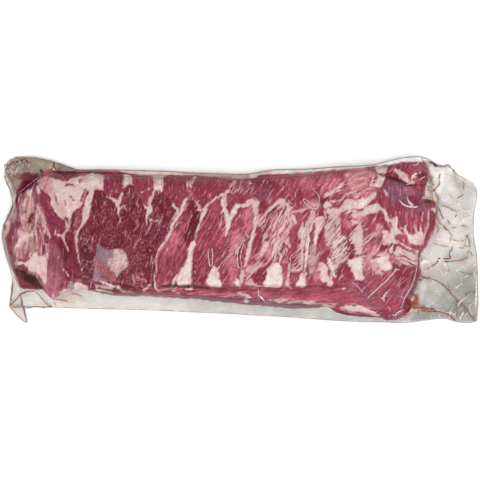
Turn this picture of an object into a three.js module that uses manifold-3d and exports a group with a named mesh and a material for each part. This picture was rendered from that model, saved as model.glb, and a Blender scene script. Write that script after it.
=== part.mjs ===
// A rack of raw pork ribs, vacuum packed in a clear bag and lying flat with its meaty side up.
// Millimetres. +X runs along the rack, +Y across it, +Z up. The pack rests on z = 0.
import * as THREE from 'three';
import { mergeVertices } from 'three/addons/utils/BufferGeometryUtils.js';
import Module from 'manifold-3d';

// Thickness of the rack and how its edges round off
const RACK_HEIGHT = 27;
const EDGE_ROUNDING = 12;
const UNDERSIDE_ROUNDING = 9;
const FLAT_INSET = 22;

// The sealed margin of the bag: two plies of film pressed together, drawn thick enough to handle
const FILM_THICKNESS = 1.2;
const FILM_AT_RACK = 6.6;
const FILM_AT_RIM = 3.2;
const FILM_RIPPLE = 0.9;
const FILM_RINGS = 4;

// Ribs cross the rack at a slant: each is a low swelling with a valley of fat beside it
const RIB_PITCH = 27;
const RIB_SLANT = 0.44;
const RIB_SWELL = 1.5;
const FIRST_VALLEY_X = -48;
const VALLEY_Y = -40;
const RIBBED_FROM_X = -72;
const RIBBED_TO_X = 132;

// The skirt flap below the ribs lies lower than the rack and ends in a groove
const FLAP_LINE_Y = -45;
const FLAP_DROP = 8;
const FLAP_GROOVE = 2.5;
const FLAP_FROM_X = -74;
const FLAP_TO_X = 100;

// Spacing of the surface grid: tight where the edges round off, even in the middle
const EDGE_STEPS = [1.6, 4, 7.5, 12];
const STEP_ALONG = 4.9;
const STEP_ACROSS = 4.5;
const RACK_LENGTH = 395;
const RACK_WIDTH = 125;

// Each station pairs a point of the rack's edge with the point of the bag's rim across from it:
// [rack x, rack y, rim x, rim y]. The four sides run anticlockwise, and each ends at a bag corner.
const SIDES = {
  front: [
    [-211, -47, -223, -65],
    [-193, -47, -201, -65],
    [-180, -58, -181, -65.5],
    [-168, -51, -166, -66],
    [-133, -49.5, -134, -67],
    [-90, -54, -92, -68],
    [-49, -56, -48, -70],
    [-6, -60, -4, -72],
    [53, -65.5, 55, -75.5],
    [88, -65.5, 89, -78],
    [103, -71, 105, -79],
    [133, -74.5, 136, -79.5],
    [151, -78, 158, -80.5],
    [158, -74, 186, -77],
    [161, -69, 204, -76],
    [163, -63, 210, -80],
    [165, -56, 229, -79.5],
  ],
  right: [
    [165, -56, 229, -79.5],
    [170, -43, 230, -59],
    [173, -30, 229.5, -38],
    [174, -14, 229, -18],
    [183, 7, 225.5, 8],
    [189.5, 24, 226, 24],
    [188.5, 35, 228, 36],
    [180, 44, 229, 46],
    [182, 61, 225, 55],
  ],
  back: [
    [182, 61, 225, 55],
    [181, 68, 210, 63],
    [177.5, 73.5, 201, 71.5],
    [174, 76, 192, 70.5],
    [169, 77.3, 179, 79.5],
    [155, 75.5, 162, 80],
    [143, 73.5, 147, 77],
    [126, 70, 127, 72.5],
    [90, 67, 90, 70.5],
    [65, 63.5, 65, 68.5],
    [29, 61.5, 30, 67.5],
    [9, 60, 9, 64],
    [-31, 60.5, -31, 64.5],
    [-87, 62.5, -87, 67],
    [-133, 64, -133, 68],
    [-159, 64, -160, 68.5],
    [-178, 64, -180, 75.5],
    [-191, 62, -200, 80],
    [-203, 54, -217, 80],
  ],
  left: [
    [-203, 54, -217, 80],
    [-209, 47, -226.5, 69],
    [-213, 39, -225.5, 57],
    [-215, 32, -221, 44],
    [-217, 24, -220, 30],
    [-221, 14, -226, 18],
    [-225, 3, -229.8, 7],
    [-225.5, -9, -228.5, -6],
    [-222, -23, -224.5, -21],
    [-218, -33, -220.5, -34],
    [-214, -42, -220.5, -48],
    [-211, -47, -223, -65],
  ],
};

// A folded corner of the bag sticks out past the front rim as a thin pointed tail
const TAIL = [
  [-221, -60],
  [-222.5, -65],
  [-212, -77],
  [-206, -81],
  [-204.6, -80],
  [-207, -73],
  [-209, -60],
];
const TAIL_Z = 2.2;

// Hollows in the top: [x, y, half length, half width, turn in degrees, depth]
const HOLLOWS = [
  [-206, -35, 15, 8, -38, 7],
  [-161, 14, 19, 4, -84, 2.6],
  [-204, -2, 13, 9, 35, 1.8],
  [-132, -31, 17, 10, 70, 1.4],
  [143, 61, 27, 4, -18, 3],
  [137, -48, 26, 5, 38, 1.6],
  [64, -16, 24, 4, 80, 1.6],
  [-43, -6, 20, 4, 62, 1.4],
];

// Raised pads of fat and muscle, in the same form, with a height in place of the depth
const PADS = [
  [-166, 42, 27, 22, -20, 1.8],
  [-176, -34, 16, 28, 8, 1.6],
  [-114, 12, 36, 42, 0, 1.6],
  [168, 63, 14, 11, 60, 2.4],
  [158, 28, 30, 26, -8, 2.2],
  [148, -55, 27, 15, 40, 2],
  [-128, -23, 9, 8, 0, 1.3],
];

const clamp = (value, low, high) => Math.min(Math.max(value, low), high);
const smooth = (from, to, value) => {
  const t = clamp((value - from) / (to - from), 0, 1);
  return t * t * (3 - 2 * t);
};

// Fractions along a side: the edge steps at both ends and even steps between them
function gridFractions(length, step) {
  const reach = EDGE_STEPS[EDGE_STEPS.length - 1];
  const middle = length - 2 * reach;
  const count = Math.round(middle / step);
  const places = [0, ...EDGE_STEPS];
  for (let i = 1; i < count; i++) places.push(reach + (middle * i) / count);
  for (const edge of [...EDGE_STEPS].reverse()) places.push(length - edge);
  places.push(length);
  return places.map((place) => place / length);
}

const ALONG = gridFractions(RACK_LENGTH, STEP_ALONG);
const ACROSS = gridFractions(RACK_WIDTH, STEP_ACROSS);

// One side's edge curve and rim curve, sampled at the same stations
function sideCurves(stations, fractions) {
  const edgeCurve = new THREE.CatmullRomCurve3(
    stations.map(([x, y]) => new THREE.Vector3(x, y, 0)),
    false,
    'centripetal',
  );
  const rimCurve = new THREE.CatmullRomCurve3(
    stations.map(([, , x, y]) => new THREE.Vector3(x, y, 0)),
    false,
    'centripetal',
  );
  return fractions.map((fraction) => {
    const t = edgeCurve.getUtoTmapping(fraction);
    return { edge: edgeCurve.getPoint(t), rim: rimCurve.getPoint(t) };
  });
}

const mirrored = (fractions) => fractions.map((f) => 1 - f).reverse();
const front = sideCurves(SIDES.front, ALONG);
const right = sideCurves(SIDES.right, ACROSS);
const back = sideCurves(SIDES.back, mirrored(ALONG));
const left = sideCurves(SIDES.left, mirrored(ACROSS));
const LOOP = [front, right, back, left].flatMap((side) => side.slice(0, -1));

// Distance from a place in the rack to the rack's edge
function insetAt(x, y) {
  let best = Infinity;
  LOOP.forEach(({ edge: a }, i) => {
    const b = LOOP[(i + 1) % LOOP.length].edge;
    const dx = b.x - a.x;
    const dy = b.y - a.y;
    const t = clamp(((x - a.x) * dx + (y - a.y) * dy) / (dx * dx + dy * dy), 0, 1);
    best = Math.min(best, Math.hypot(x - a.x - t * dx, y - a.y - t * dy));
  });
  return best;
}

// A bump of height 1 in a turned ellipse, falling off smoothly to its rim
function ellipseBump(x, y, [cx, cy, halfLength, halfWidth, turn]) {
  const angle = THREE.MathUtils.degToRad(turn);
  const dx = x - cx;
  const dy = y - cy;
  const along = (dx * Math.cos(angle) + dy * Math.sin(angle)) / halfLength;
  const across = (dy * Math.cos(angle) - dx * Math.sin(angle)) / halfWidth;
  return Math.exp(-1.6 * (along * along + across * across));
}

// Uneven lumps of muscle, from a few crossing waves
function lumps(x, y) {
  return (
    0.5 * Math.sin(x / 9.1 + 1.3 * Math.sin(y / 14)) * Math.cos(y / 8.3 + 0.7) +
    0.6 * Math.sin(x / 31 + y / 19 + 0.4) +
    0.5 * Math.cos(x / 22 - y / 27)
  );
}

// Height of the rack's top before its edges round off
function rackCrown(x, y) {
  const ends = 1 - 0.1 * smooth(140, 215, Math.abs(x)) - 0.07 * smooth(120, 190, x);
  const thinBack = 2.5 * smooth(25, 65, y);
  let z = RACK_HEIGHT * ends - thinBack + lumps(x, y);
  const valley = FIRST_VALLEY_X + (y - VALLEY_Y) * RIB_SLANT;
  const phase = ((x - valley) / RIB_PITCH) * 2 * Math.PI;
  const ribbed =
    smooth(RIBBED_FROM_X, RIBBED_FROM_X + 24, x - (y - VALLEY_Y) * RIB_SLANT) *
    (1 - smooth(RIBBED_TO_X - 24, RIBBED_TO_X, x)) *
    (1 - 0.6 * smooth(36, 52, y));
  z -= RIB_SWELL * ribbed * Math.cos(phase);
  const flap =
    smooth(FLAP_FROM_X - 14, FLAP_FROM_X + 8, x) * (1 - smooth(FLAP_TO_X - 8, FLAP_TO_X + 12, x));
  z -= FLAP_DROP * flap * smooth(FLAP_LINE_Y + 1.5, FLAP_LINE_Y - 2.5, y);
  z -= FLAP_GROOVE * flap * Math.exp(-(((y - FLAP_LINE_Y + 2) / 2.6) ** 2));
  for (const hollow of HOLLOWS) z -= hollow[5] * ellipseBump(x, y, hollow);
  for (const pad of PADS) z += pad[5] * ellipseBump(x, y, pad);
  return z;
}

// The film's height where it meets the rack
function filmAtRack(x, y) {
  return FILM_AT_RACK + 0.8 * Math.sin(x / 27 + y / 33);
}

function rackTop(x, y, inset) {
  const foot = filmAtRack(x, y);
  const rounded = clamp(inset / EDGE_ROUNDING, 0, 1);
  const swell = Math.sqrt(1 - (1 - rounded) ** 2);
  return foot + (rackCrown(x, y) - foot) * swell;
}

// The film's height on the margin: it falls from the rack to the rim in shallow crumples
function marginTop(x, y, out) {
  const fall = filmAtRack(x, y) + (FILM_AT_RIM - filmAtRack(x, y)) * smooth(0, 0.9, out);
  const crumple =
    Math.sin(x / 5.3 + 1.7 * Math.sin(y / 9)) * Math.cos(y / 6.1 - x / 17) +
    0.6 * Math.sin((x + 2 * y) / 7.7);
  return Math.max(fall + FILM_RIPPLE * crumple * smooth(0, 0.3, out), FILM_THICKNESS + 0.6);
}

// The whole pack as one closed surface
function packGeometry() {
  const positions = [];
  const faces = [];
  const addPoint = (x, y, z) => positions.push(x, y, z) / 3 - 1;
  const addQuad = (a, b, c, d) => faces.push(a, b, c, a, c, d);
  const count = LOOP.length;

  // Top of the rack: a patch blended from its four sides
  const columns = ALONG.length;
  const rows = ACROSS.length;
  const backward = [...back].reverse();
  const downward = [...left].reverse();
  const patch = [];
  for (let j = 0; j < rows; j++) {
    const v = ACROSS[j];
    const row = [];
    for (let i = 0; i < columns; i++) {
      const u = ALONG[i];
      const onSides = (axis) =>
        (1 - v) * front[i].edge[axis] + v * backward[i].edge[axis] +
        (1 - u) * downward[j].edge[axis] + u * right[j].edge[axis];
      const onCorners = (axis) =>
        (1 - u) * (1 - v) * front[0].edge[axis] + u * (1 - v) * right[0].edge[axis] +
        u * v * back[0].edge[axis] + (1 - u) * v * left[0].edge[axis];
      const x = onSides('x') - onCorners('x');
      const y = onSides('y') - onCorners('y');
      const onEdge = i === 0 || j === 0 || i === columns - 1 || j === rows - 1;
      row.push(addPoint(x, y, rackTop(x, y, onEdge ? 0 : insetAt(x, y))));
    }
    patch.push(row);
  }
  for (let j = 0; j < rows - 1; j++) {
    for (let i = 0; i < columns - 1; i++) {
      addQuad(patch[j][i], patch[j][i + 1], patch[j + 1][i + 1], patch[j + 1][i]);
    }
  }
  const edgeRing = [
    ...patch[0].slice(0, -1),
    ...patch.slice(0, -1).map((row) => row[columns - 1]),
    ...patch[rows - 1].slice(1).reverse(),
    ...patch.slice(1).reverse().map((row) => row[0]),
  ];
  const joinRings = (inner, outer) => {
    for (let i = 0; i < count; i++) {
      const next = (i + 1) % count;
      addQuad(inner[i], outer[i], outer[next], inner[next]);
    }
  };

  // Upper face of the sealed margin, ring by ring out to the rim
  const upper = [edgeRing];
  const lower = [];
  for (let ring = 0; ring <= FILM_RINGS; ring++) {
    const out = ring / FILM_RINGS;
    const places = LOOP.map(({ edge, rim }) => edge.clone().lerp(rim, out));
    if (ring > 0) upper.push(places.map(({ x, y }) => addPoint(x, y, marginTop(x, y, out))));
    lower.push(places.map(({ x, y }) => addPoint(x, y, marginTop(x, y, out) - FILM_THICKNESS)));
  }
  for (let ring = 0; ring < FILM_RINGS; ring++) {
    joinRings(upper[ring], upper[ring + 1]);
    joinRings(lower[ring + 1], lower[ring]);
  }
  joinRings(upper[FILM_RINGS], lower[FILM_RINGS]);

  // Underside of the rack: it rounds in from the margin to the flat that the pack rests on
  const towardsMiddle = ({ edge }, distance) => {
    const middle = new THREE.Vector3(clamp(edge.x, -165, 120), 2, 0);
    const reach = edge.distanceTo(middle);
    return edge.clone().lerp(middle, Math.min(distance / reach, 0.8));
  };
  const underRings = [0.25, 1, FLAT_INSET / UNDERSIDE_ROUNDING].map((share) => {
    const down = clamp(share, 0, 1);
    return LOOP.map((station, i) => {
      const { x, y } = towardsMiddle(station, share * UNDERSIDE_ROUNDING);
      const lip = positions[3 * lower[0][i] + 2];
      return addPoint(x, y, lip * (1 - Math.sqrt(1 - (1 - down) ** 2)));
    });
  });
  joinRings(lower[0], underRings[0]);
  joinRings(underRings[0], underRings[1]);
  joinRings(underRings[1], underRings[2]);
  const rest = underRings[2].map((i) => new THREE.Vector2(positions[3 * i], positions[3 * i + 1]));
  for (const [a, b, c] of THREE.ShapeUtils.triangulateShape(rest, [])) {
    faces.push(underRings[2][a], underRings[2][c], underRings[2][b]);
  }

  const geometry = new THREE.BufferGeometry();
  geometry.setAttribute('position', new THREE.Float32BufferAttribute(positions, 3));
  geometry.setIndex(faces);
  return geometry;
}

function tailGeometry() {
  const outline = new THREE.Shape(TAIL.map(([x, y]) => new THREE.Vector2(x, y)));
  const geometry = new THREE.ExtrudeGeometry(outline, {
    depth: FILM_THICKNESS,
    bevelEnabled: false,
    curveSegments: 1,
  });
  return geometry.translate(0, 0, TAIL_Z);
}

const wasm = await Module();
wasm.setup();

function solidOf(geometry) {
  geometry.deleteAttribute('normal');
  geometry.deleteAttribute('uv');
  const merged = mergeVertices(geometry, 1e-4);
  return new wasm.Manifold(
    new wasm.Mesh({
      numProp: 3,
      vertProperties: merged.attributes.position.array,
      triVerts: new Uint32Array(merged.index.array),
    }),
  );
}

function geometryOf(solid) {
  const mesh = solid.getMesh();
  const geometry = new THREE.BufferGeometry();
  geometry.setAttribute('position', new THREE.BufferAttribute(mesh.vertProperties, 3));
  geometry.setIndex(new THREE.BufferAttribute(mesh.triVerts, 1));
  return geometry;
}

// The pack stands on z = 0 with the middle of its box over the origin
function centredOnBase(geometry) {
  geometry.computeBoundingBox();
  const { min, max } = geometry.boundingBox;
  geometry.translate(-(min.x + max.x) / 2, -(min.y + max.y) / 2, -min.z);
  geometry.computeVertexNormals();
  return geometry;
}

const packedRack = new THREE.MeshStandardMaterial({
  color: new THREE.Color(0.56, 0.24, 0.31),
  roughness: 0.3,
  metalness: 0,
});

const group = new THREE.Group();
const sealedBag = new THREE.Mesh(
  centredOnBase(geometryOf(solidOf(packGeometry()).add(solidOf(tailGeometry())))),
  packedRack,
);
sealedBag.name = 'sealed_bag';
group.add(sealedBag);

export default group;
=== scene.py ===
# A rack of raw pork ribs in a clear vacuum bag: the rack, the film, its creases and the juice in them.
# Laid out as an add-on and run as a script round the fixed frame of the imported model.
import functools
import math

import bmesh
import bpy
import numpy as np
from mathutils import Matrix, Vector
from mathutils.bvhtree import BVHTree


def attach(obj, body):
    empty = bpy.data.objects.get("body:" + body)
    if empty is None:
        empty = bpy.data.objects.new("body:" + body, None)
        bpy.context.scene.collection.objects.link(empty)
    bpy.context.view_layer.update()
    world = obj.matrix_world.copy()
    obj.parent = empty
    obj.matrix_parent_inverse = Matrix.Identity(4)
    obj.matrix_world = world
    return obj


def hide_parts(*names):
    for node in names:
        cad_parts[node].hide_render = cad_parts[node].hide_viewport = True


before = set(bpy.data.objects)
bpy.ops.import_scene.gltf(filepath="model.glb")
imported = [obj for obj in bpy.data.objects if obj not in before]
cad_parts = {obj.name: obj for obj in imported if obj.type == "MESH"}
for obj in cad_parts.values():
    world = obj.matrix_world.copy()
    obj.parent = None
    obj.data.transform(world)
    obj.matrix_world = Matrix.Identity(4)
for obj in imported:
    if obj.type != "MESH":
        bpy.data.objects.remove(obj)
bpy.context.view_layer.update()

bl_info = {
    "name": "Vacuum-packed pork ribs",
    "version": (1, 0, 0),
    "blender": (4, 5, 0),
    "location": "View3D > Sidebar > Pork ribs",
    "description": "Builds a raw rack of ribs in its clear bag on the packed frame",
    "category": "Mesh",
}

NODE = "sealed_bag"
BODY = "root"
MM = 0.001
CAMERA_HEIGHT = 2.4
PICTURE_SHIFT = (0.35, 0.1)

# Places in the lists below are millimetres as seen from the camera straight above, on the floor's plane:
# x along the rack, y across it. An outline or line is a run of x,y pairs. Groups of lines give one half
# width, thinner at both ends; where it is 0, each place is x,y,half width.

# Light that the film throws back
FILM_VEIL = 0.018

# Surface grids, and the heights and widths of the bag and the rack in millimetres
RACK_COLUMNS = 440
RACK_ROWS = 152
FILM_COLUMNS = 260
FILM_ROWS = 96
FILM_EDGE_TIGHTENING = 0.6
MARGIN_RINGS = 20
EDGE_BAND = 1.3
WIDEST_MARGIN = 110.0
# Where the bag's rim is read, as a share of the way out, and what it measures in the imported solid
JUST_INSIDE = 0.9995
RIM_HEIGHT = 3.2
RIM_THICKNESS = 1.2
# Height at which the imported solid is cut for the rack's outline, and how far the meat stays inside it
EDGE_HEIGHT = 9.0
RACK_INSET = 0.7
# The rack's sides below its rim: steps towards its middle with their highest levels, then steps at the foot
SIDE_STEPS = ((-0.25, 8.6), (-0.15, 7.0), (0.4, 5.4))
FOOT_STEPS = (1.6, 4.0)
UNDERSIDE_INSET = 8.0
FILM_PLY_GAP = 0.36
# The rack's middle line, and the outline's corners: front left, front right, back right, back left
SPINE_ENDS = (-165.0, 120.0)
SPINE_Y = 2.0
PATCH_CORNERS = ((-211, -47), (165, -56), (182, 61), (-203, 54))

# Paints, as display colours from 0 to 255
PAINTS = {
    "deep": (108, 36, 54),
    "deep dark": (84, 24, 40),
    "deep shade": (94, 30, 48),
    "red": (146, 66, 83),
    "strip": (136, 58, 78),
    "rose": (160, 74, 90),
    "wine": (144, 58, 76),
    "flap": (160, 84, 98),
    "low pink": (164, 100, 112),
    "tan": (196, 162, 150),
    "bright red": (166, 80, 94),
    "pink": (190, 110, 122),
    "salmon": (202, 130, 138),
    "purple": (142, 80, 98),
    "mauve": (140, 88, 108),
    "plum": (134, 56, 74),
    "membrane": (176, 132, 130),
    "fat": (216, 194, 189),
    "white fat": (224, 211, 206),
    "grey fat": (196, 172, 166),
    "peach fat": (214, 168, 160),
    "pink fat": (208, 163, 166),
    "cartilage": (146, 134, 146),
    "bone": (210, 184, 178),
    "rust": (156, 98, 100),
    "brown": (96, 46, 50),
    "shadow": (66, 18, 30),
    "hollow wall": (150, 112, 106),
    "grain": (146, 74, 94),
    "rim grey": (132, 94, 102),
    "fleck": (190, 112, 124),
    "amber": (176, 128, 104),
    "brown juice": (136, 104, 88),
    "rust juice": (146, 70, 54),
    "dark juice": (96, 40, 38),
    "olive juice": (140, 128, 110),
    # painted highlights for the film's creases and crumples: the next three paints
    "pleat": (226, 200, 206),
    "glint": (245, 238, 236),
    "crumple highlight": (196, 188, 178),
}

# Muscle of one colour: paint, softness of its edge, outline
MUSCLES = [
    # left end, from the rim inwards
    ("purple", 3, [-228,45, -196,48, -190,30, -186,5, -187,-30, -192,-45, -220,-50, -232,0]),
    ("plum", 1.2, [-229,3, -225,20, -219,21, -217,12, -221,2, -221,-8, -217,-16, -218,-26, -223,-27,
     -227,-12]), ("rose", 1.2, [-224,-4, -221.5,-4, -221.5,-10, -224.5,-10]),
    ("tan", 0.8, [-228.5,4, -227,10, -223.5,18, -221.5,18, -226,4]),
    ("deep", 1.5, [-218,46, -208,56, -194,62, -194,54, -210,44, -214,30, -220,26]),
    ("membrane", 1.2, [-214.5,36, -209,45, -203,45, -198,30, -205,19, -209,15, -213,20]),
    ("plum", 0.8, [-217.5,28, -215,32, -213,26, -216,25]),
    ("hollow wall", 2, [-215,10, -206,14, -199,20, -196,-4, -206,0, -213,2]),
    ("deep", 0.7, [-216.5,13, -216,17.5, -213,17.5, -212,14, -214,12]),
    ("membrane", 1, [-213,12, -208,14, -204,17, -203,10, -208,5]),
    ("deep", 0.7, [-205,18, -203,24, -199,26.5, -198.5,24, -203,16]),
    ("shadow", 0.7, [-210,27.5, -208.5,29, -207,27.5, -208.5,26]),
    ("purple", 0.8, [-200,53, -197,53, -197,45, -200,45]),
    ("mauve", 0.7, [-201,43, -193,43.5, -194,41, -197,40, -198,36]),
    ("membrane", 2, [-198,27, -195,34, -188,18, -187,9, -190,7, -197,16]),
    ("membrane", 0.8, [-206,3, -202.5,3.5, -203,-15, -207,-4]),
    ("membrane", 1.2, [-219,-10, -210,-10, -208,-12, -210,-18, -217,-18]),
    ("low pink", 0.8, [-210,-10, -204.5,-13, -205,-17, -209,-20.5]),
    ("plum", 1, [-188,6, -185,6, -183,3, -185,0, -188,0]),
    ("low pink", 1.5, [-199,1, -192,2, -188,-16, -192,-14, -197,-12]),
    ("deep", 1.2, [-192,-4, -189,-4, -188.5,-14, -191,-13]),
    # the smooth strip beside the fat pad
    ("strip", 0.7, [-192,45.5, -188,46.5, -183,41, -183.5,32, -181,30, -179,26, -168,16, -172,5, -183,11,
     -187,20, -194,33]),
    # smooth muscle under it, darker towards the marbled muscle
    ("plum", 2.5, [-186,8, -176,6, -160,6, -157,-10, -157,-34, -170,-44, -186,-40, -188,-10]),
    ("purple", 3, [-187,-4, -178,-4, -172,-14, -172,-30, -180,-34, -187,-26]),
    ("low pink", 3.5, [-188,-30, -178,-30, -168,-47, -181,-60, -190,-50]),
    ("deep", 2, [-176,-2, -166,2, -160,-6, -159,-24, -157,-36, -164,-38, -170,-28, -173,-14]),
    ("wine", 0.8, [-152,31, -153.5,25, -154,18, -157,12, -159,5, -161.5,12, -160,26]),
    ("low pink", 1.2, [-157,27, -155.5,27, -159,11, -159.5,18]),
    # the deep marbled muscle
    ("deep", 1.2, [-141,48, -134,48, -118,37, -113,47, -107,53.5, -101,49, -97,41, -90,36, -84,46, -73,45,
     -67,37, -60,31, -61,24, -70,4, -80,-12, -82,-34, -84,-46, -95,-49, -130,-50, -152,-42, -158,-36,
     -158.5,-20, -156,9, -150,15, -143,38]),
    ("deep dark", 4, [-155,4, -144,0, -143,-22, -146,-40, -153,-38]),
    ("deep shade", 1.5, [-115,-42, -97,-46, -97,-49, -108,-47.5, -115,-45]),
    # blocks along the back, between the seams
    ("plum", 0.8, [-134,66, -112,66, -113,50, -116,44, -118,38, -130,44, -134,50]),
    ("strip", 2, [-130,60, -122,62, -118,50, -122,44, -130,48]),
    ("red", 0.8, [-108,63, -103,66, -88,66, -83,50, -87,42, -90,33, -96,38, -104,52]),
    ("wine", 2.5, [-104,60, -92,61, -90,50, -98,48]),
    ("red", 0.8, [-76,63, -70,66, -50,66, -49,52, -48,42, -64,36, -70,42, -75,47]),
    ("plum", 2, [-73,60, -66,58, -66,44, -72,48]),
    # bands between the ribs, darker where they turn under a seam
    ("deep", 1.5, [-50,38, -46,39, -38,24, -46,0, -55,-2, -51,26]),
    ("plum", 2, [-46,50, -38,52, -30,42, -38,34]),
    ("bright red", 3, [-72,2, -62,8, -58,-2, -66,-16, -78,-8]),
    ("pink", 3, [-67,5, -60,6, -59,-2, -64,-6, -68,-2]),
    ("plum", 1.5, [-71,-21, -66,-22, -65,-29, -70,-28]), ("plum", 2, [-71,-37, -64,-38, -63,-44, -71,-44]),
    ("plum", 2, [-34,24, -28,30, -22,26, -24,10, -32,2, -38,8]),
    ("pink", 3, [-14,-17, -5,-16, -3,-30, -6,-43, -14,-43]),
    ("pink", 1.5, [-20,14, -19,10, -20,5, -18,2.5, -15,3, -14,8]), ("salmon", 3, [-7,2, 0,5, 2,0, -10,-17]),
    ("bright red", 2, [-4,14, 5,16, 6,4, 0,3, -4,6]),
    ("purple", 2, [16,40, 18,48, 28,49, 31,42, 28,37, 20,37]),
    ("plum", 2, [17,37, 28,38, 31,34, 27,26, 22,22, 18,26]), ("red", 1.5, [17,31, 22,31, 22,25, 17.5,24]),
    ("plum", 1.5, [14,60, 24,60, 30,56, 38,54, 38,50, 30,50, 24,53, 15,54]),
    ("plum", 1.5, [27,28, 30,27, 29,18, 19,-3, 9,-14, 8.5,-9, 12.5,-2, 22,20]),
    ("plum", 1.5, [26,26, 36,33, 32,21, 28,19]),
    ("pink", 2.5, [30,22, 36,26, 44,24, 46,14, 42,0, 28,-14, 24,-8, 28,4]),
    ("rose", 1.5, [36,31, 42,32, 45,28, 43,24, 37,26]), ("salmon", 2, [25,-7, 31,-7, 31,-18, 25,-18]),
    ("wine", 2, [48,28, 54,31, 62,34, 64,50, 56,50, 55,36, 48,36]),
    ("rose", 1.2, [43,49, 50,49, 50,45, 44,45]),
    ("rose", 1.5, [58,26, 63,27, 66,22, 56,8, 50,-8, 47,-18, 40,-19, 39,-8, 46,-4, 49,10]),
    ("rose", 3, [64,54, 76,52, 76,44, 62,40]), ("plum", 1, [77,40, 80,39, 80,32, 80,22, 74,23, 76.5,34]),
    ("bright red", 4, [30,62, 60,64, 86,66, 84,52, 40,52]),
    ("bright red", 5, [84,64, 100,66, 100,60, 92,62]), ("pink", 5, [80,62, 97,61, 95,52, 80,48]),
    ("rose", 3, [86,68, 101,68, 101,61, 95,62]),
    ("rose", 0.8, [88,34, 90,36.5, 95,36.5, 100,38, 96,31.5, 91,31]),
    ("salmon", 3, [103,66, 126,69, 131,62, 129,55, 122,50, 106,50]),
    ("rose", 1.2, [125,60, 130,60, 129,54, 124,54]),
    ("pink", 1.2, [100,44, 106,49, 118,49, 131,51, 131,46, 124,41, 118,42, 104,41]),
    ("bright red", 1.5, [92,25, 98,26, 97,10, 93,10]),
    ("bright red", 2, [98,27, 107,29, 108,20, 104,12, 98,12]),
    ("purple", 1.5, [104,28, 113,29, 114,25, 106,24]), ("salmon", 2, [107,24, 118,24, 118,16, 110,15]),
    ("wine", 1.5, [112,15, 107,3, 106,-2, 102,-1, 103,6]),
    ("wine", 2, [104,3, 110,-4, 110,-14, 106,-19, 103,-16, 104,-6]),
    ("bright red", 2, [76,5, 84,4, 85,-8, 80,-14, 76,-10]), ("plum", 1.5, [82,-12, 87,-13, 87,-22, 83,-22]),
    ("low pink", 2, [66,-8, 75,-7, 76,-22, 73,-32, 66,-32]),
    # the muscle that the broad bands enclose, and the oval beside it
    ("rose", 2, [118,22, 124,23, 122,2, 118,2]),
    ("wine", 1.5, [132,24, 137,25, 139,18, 142,14, 138,13, 133,17]),
    ("wine", 1, [139.5,12.5, 142,14, 145,10, 144.5,6.5]), ("wine", 1, [117.5,2, 120,2, 120,-12, 118,-13]),
    ("bright red", 2, [125,20, 131,21, 132,12, 126,8]), ("salmon", 1.5, [131,15, 138,15, 137,9, 131,8]),
    ("low pink", 1, [127,-4, 134.5,7.5, 138,3, 137,-1, 139,-3, 145,-3, 144.5,-9, 133,-15, 126,-13]),
    ("plum", 1.2, [135,-5, 142,-5, 142,-9, 136,-11]),
    ("pink", 2, [120,-5, 127,-3, 132,-8, 130,-17, 122,-17]),
    ("wine", 1, [95,-25, 100,-20, 102,-20.5, 110,-34, 111,-38, 95,-38]),
    ("rose", 2, [66,-36, 73,-34, 78,-44, 66,-46]),
    ("low pink", 1, [119,-27, 122,-22.5, 128,-21.5, 125,-32, 120,-39]),
    # the flap below the ribs
    ("flap", 1, [-82,-46, -30,-46, 80,-46, 108,-42, 124,-50, 136,-66, 128,-70, 104,-68, 78,-62, 40,-60,
     0,-56, -40,-56, -80,-53]),
    ("wine", 1.5, [-82,-46, -30,-46.5, 30,-47, 78,-46.5, 78,-49, 30,-50.5, -30,-50, -82,-49]),
    ("bright red", 2.5, [44,-50, 62,-52, 74,-58, 56,-58, 46,-56]),
    ("rose", 2.5, [96,-50, 110,-52, 116,-60, 102,-61]), ("bright red", 3, [71,-51, 89,-52, 88,-57, 72,-57]),
    ("rim grey", 0.9, [-58,-54, -30,-54, 8,-56.5, 72,-60, 82,-67, 70,-67, 50,-68, -10,-62, -58,-59]),
    # right end: the mauve muscle, the block in the corner and the muscle at the front
    ("wine", 1, [131,46, 137,41, 138,36, 131,40]),
    ("purple", 1.5, [142,58, 150,58, 160,54, 172,52, 180,52, 178,42, 190,38, 191,26, 188,10, 182,0, 178,-8,
     170,-4, 152,8, 153,20, 150,23, 144,21, 141,40]),
    ("mauve", 2.5, [143,56, 159,51, 161,44, 156,37, 147,37, 142.5,44]),
    ("low pink", 3, [161,51, 168,51, 168,44, 162,44]),
    ("plum", 3, [150,37, 158,32, 158,24, 152,22, 148,28]),
    ("plum", 2, [163,42, 170,42, 176,38, 176,33, 168,35]), ("red", 3, [143,31, 147,31, 149,22, 143,22]),
    ("red", 3, [158,24, 176,26, 180,12, 172,-4, 154,14]),
    ("wine", 1.5, [168,52.5, 181,53.5, 179,47, 170,48]),
    ("plum", 1, [140.5,65, 148,66.5, 152,62, 164,53.5, 150,57, 143,58.5]),
    ("bright red", 1, [154,76, 170,79, 180,74, 184,62, 181,50, 166,52, 161,63, 157,67]),
    ("wine", 1.2, [157,74, 162,74, 164,62, 158,68]), ("deep", 1, [170,65, 179,66, 180,62, 172,60]),
    ("wine", 1.2, [173,58, 181,60, 181,50, 175,50]),
    ("deep", 0.8, [177,37.8, 186,37.8, 188.5,35.5, 179,35.5]),
    ("plum", 1.5, [182,27, 188,27.5, 188,15, 183,15]),
    ("wine", 0.8, [188,15, 186,7, 177,-8, 177,-3, 183,12]),
    ("rose", 0.9, [150,4.5, 158,4, 166,-4, 175,-5, 178,-8, 172,-10.5, 168,-8, 150,-0.5]),
    ("low pink", 1, [144,-13, 150,-14.5, 155,-14, 163,-20, 160,-23, 152,-24, 143.5,-22]),
    ("rose", 1, [156,-13, 160,-13, 162,-16, 157,-17]),
    ("deep", 0.8, [146,-4, 151,-3.5, 147.5,-14, 145.5,-13, 147.5,-8]),
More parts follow.
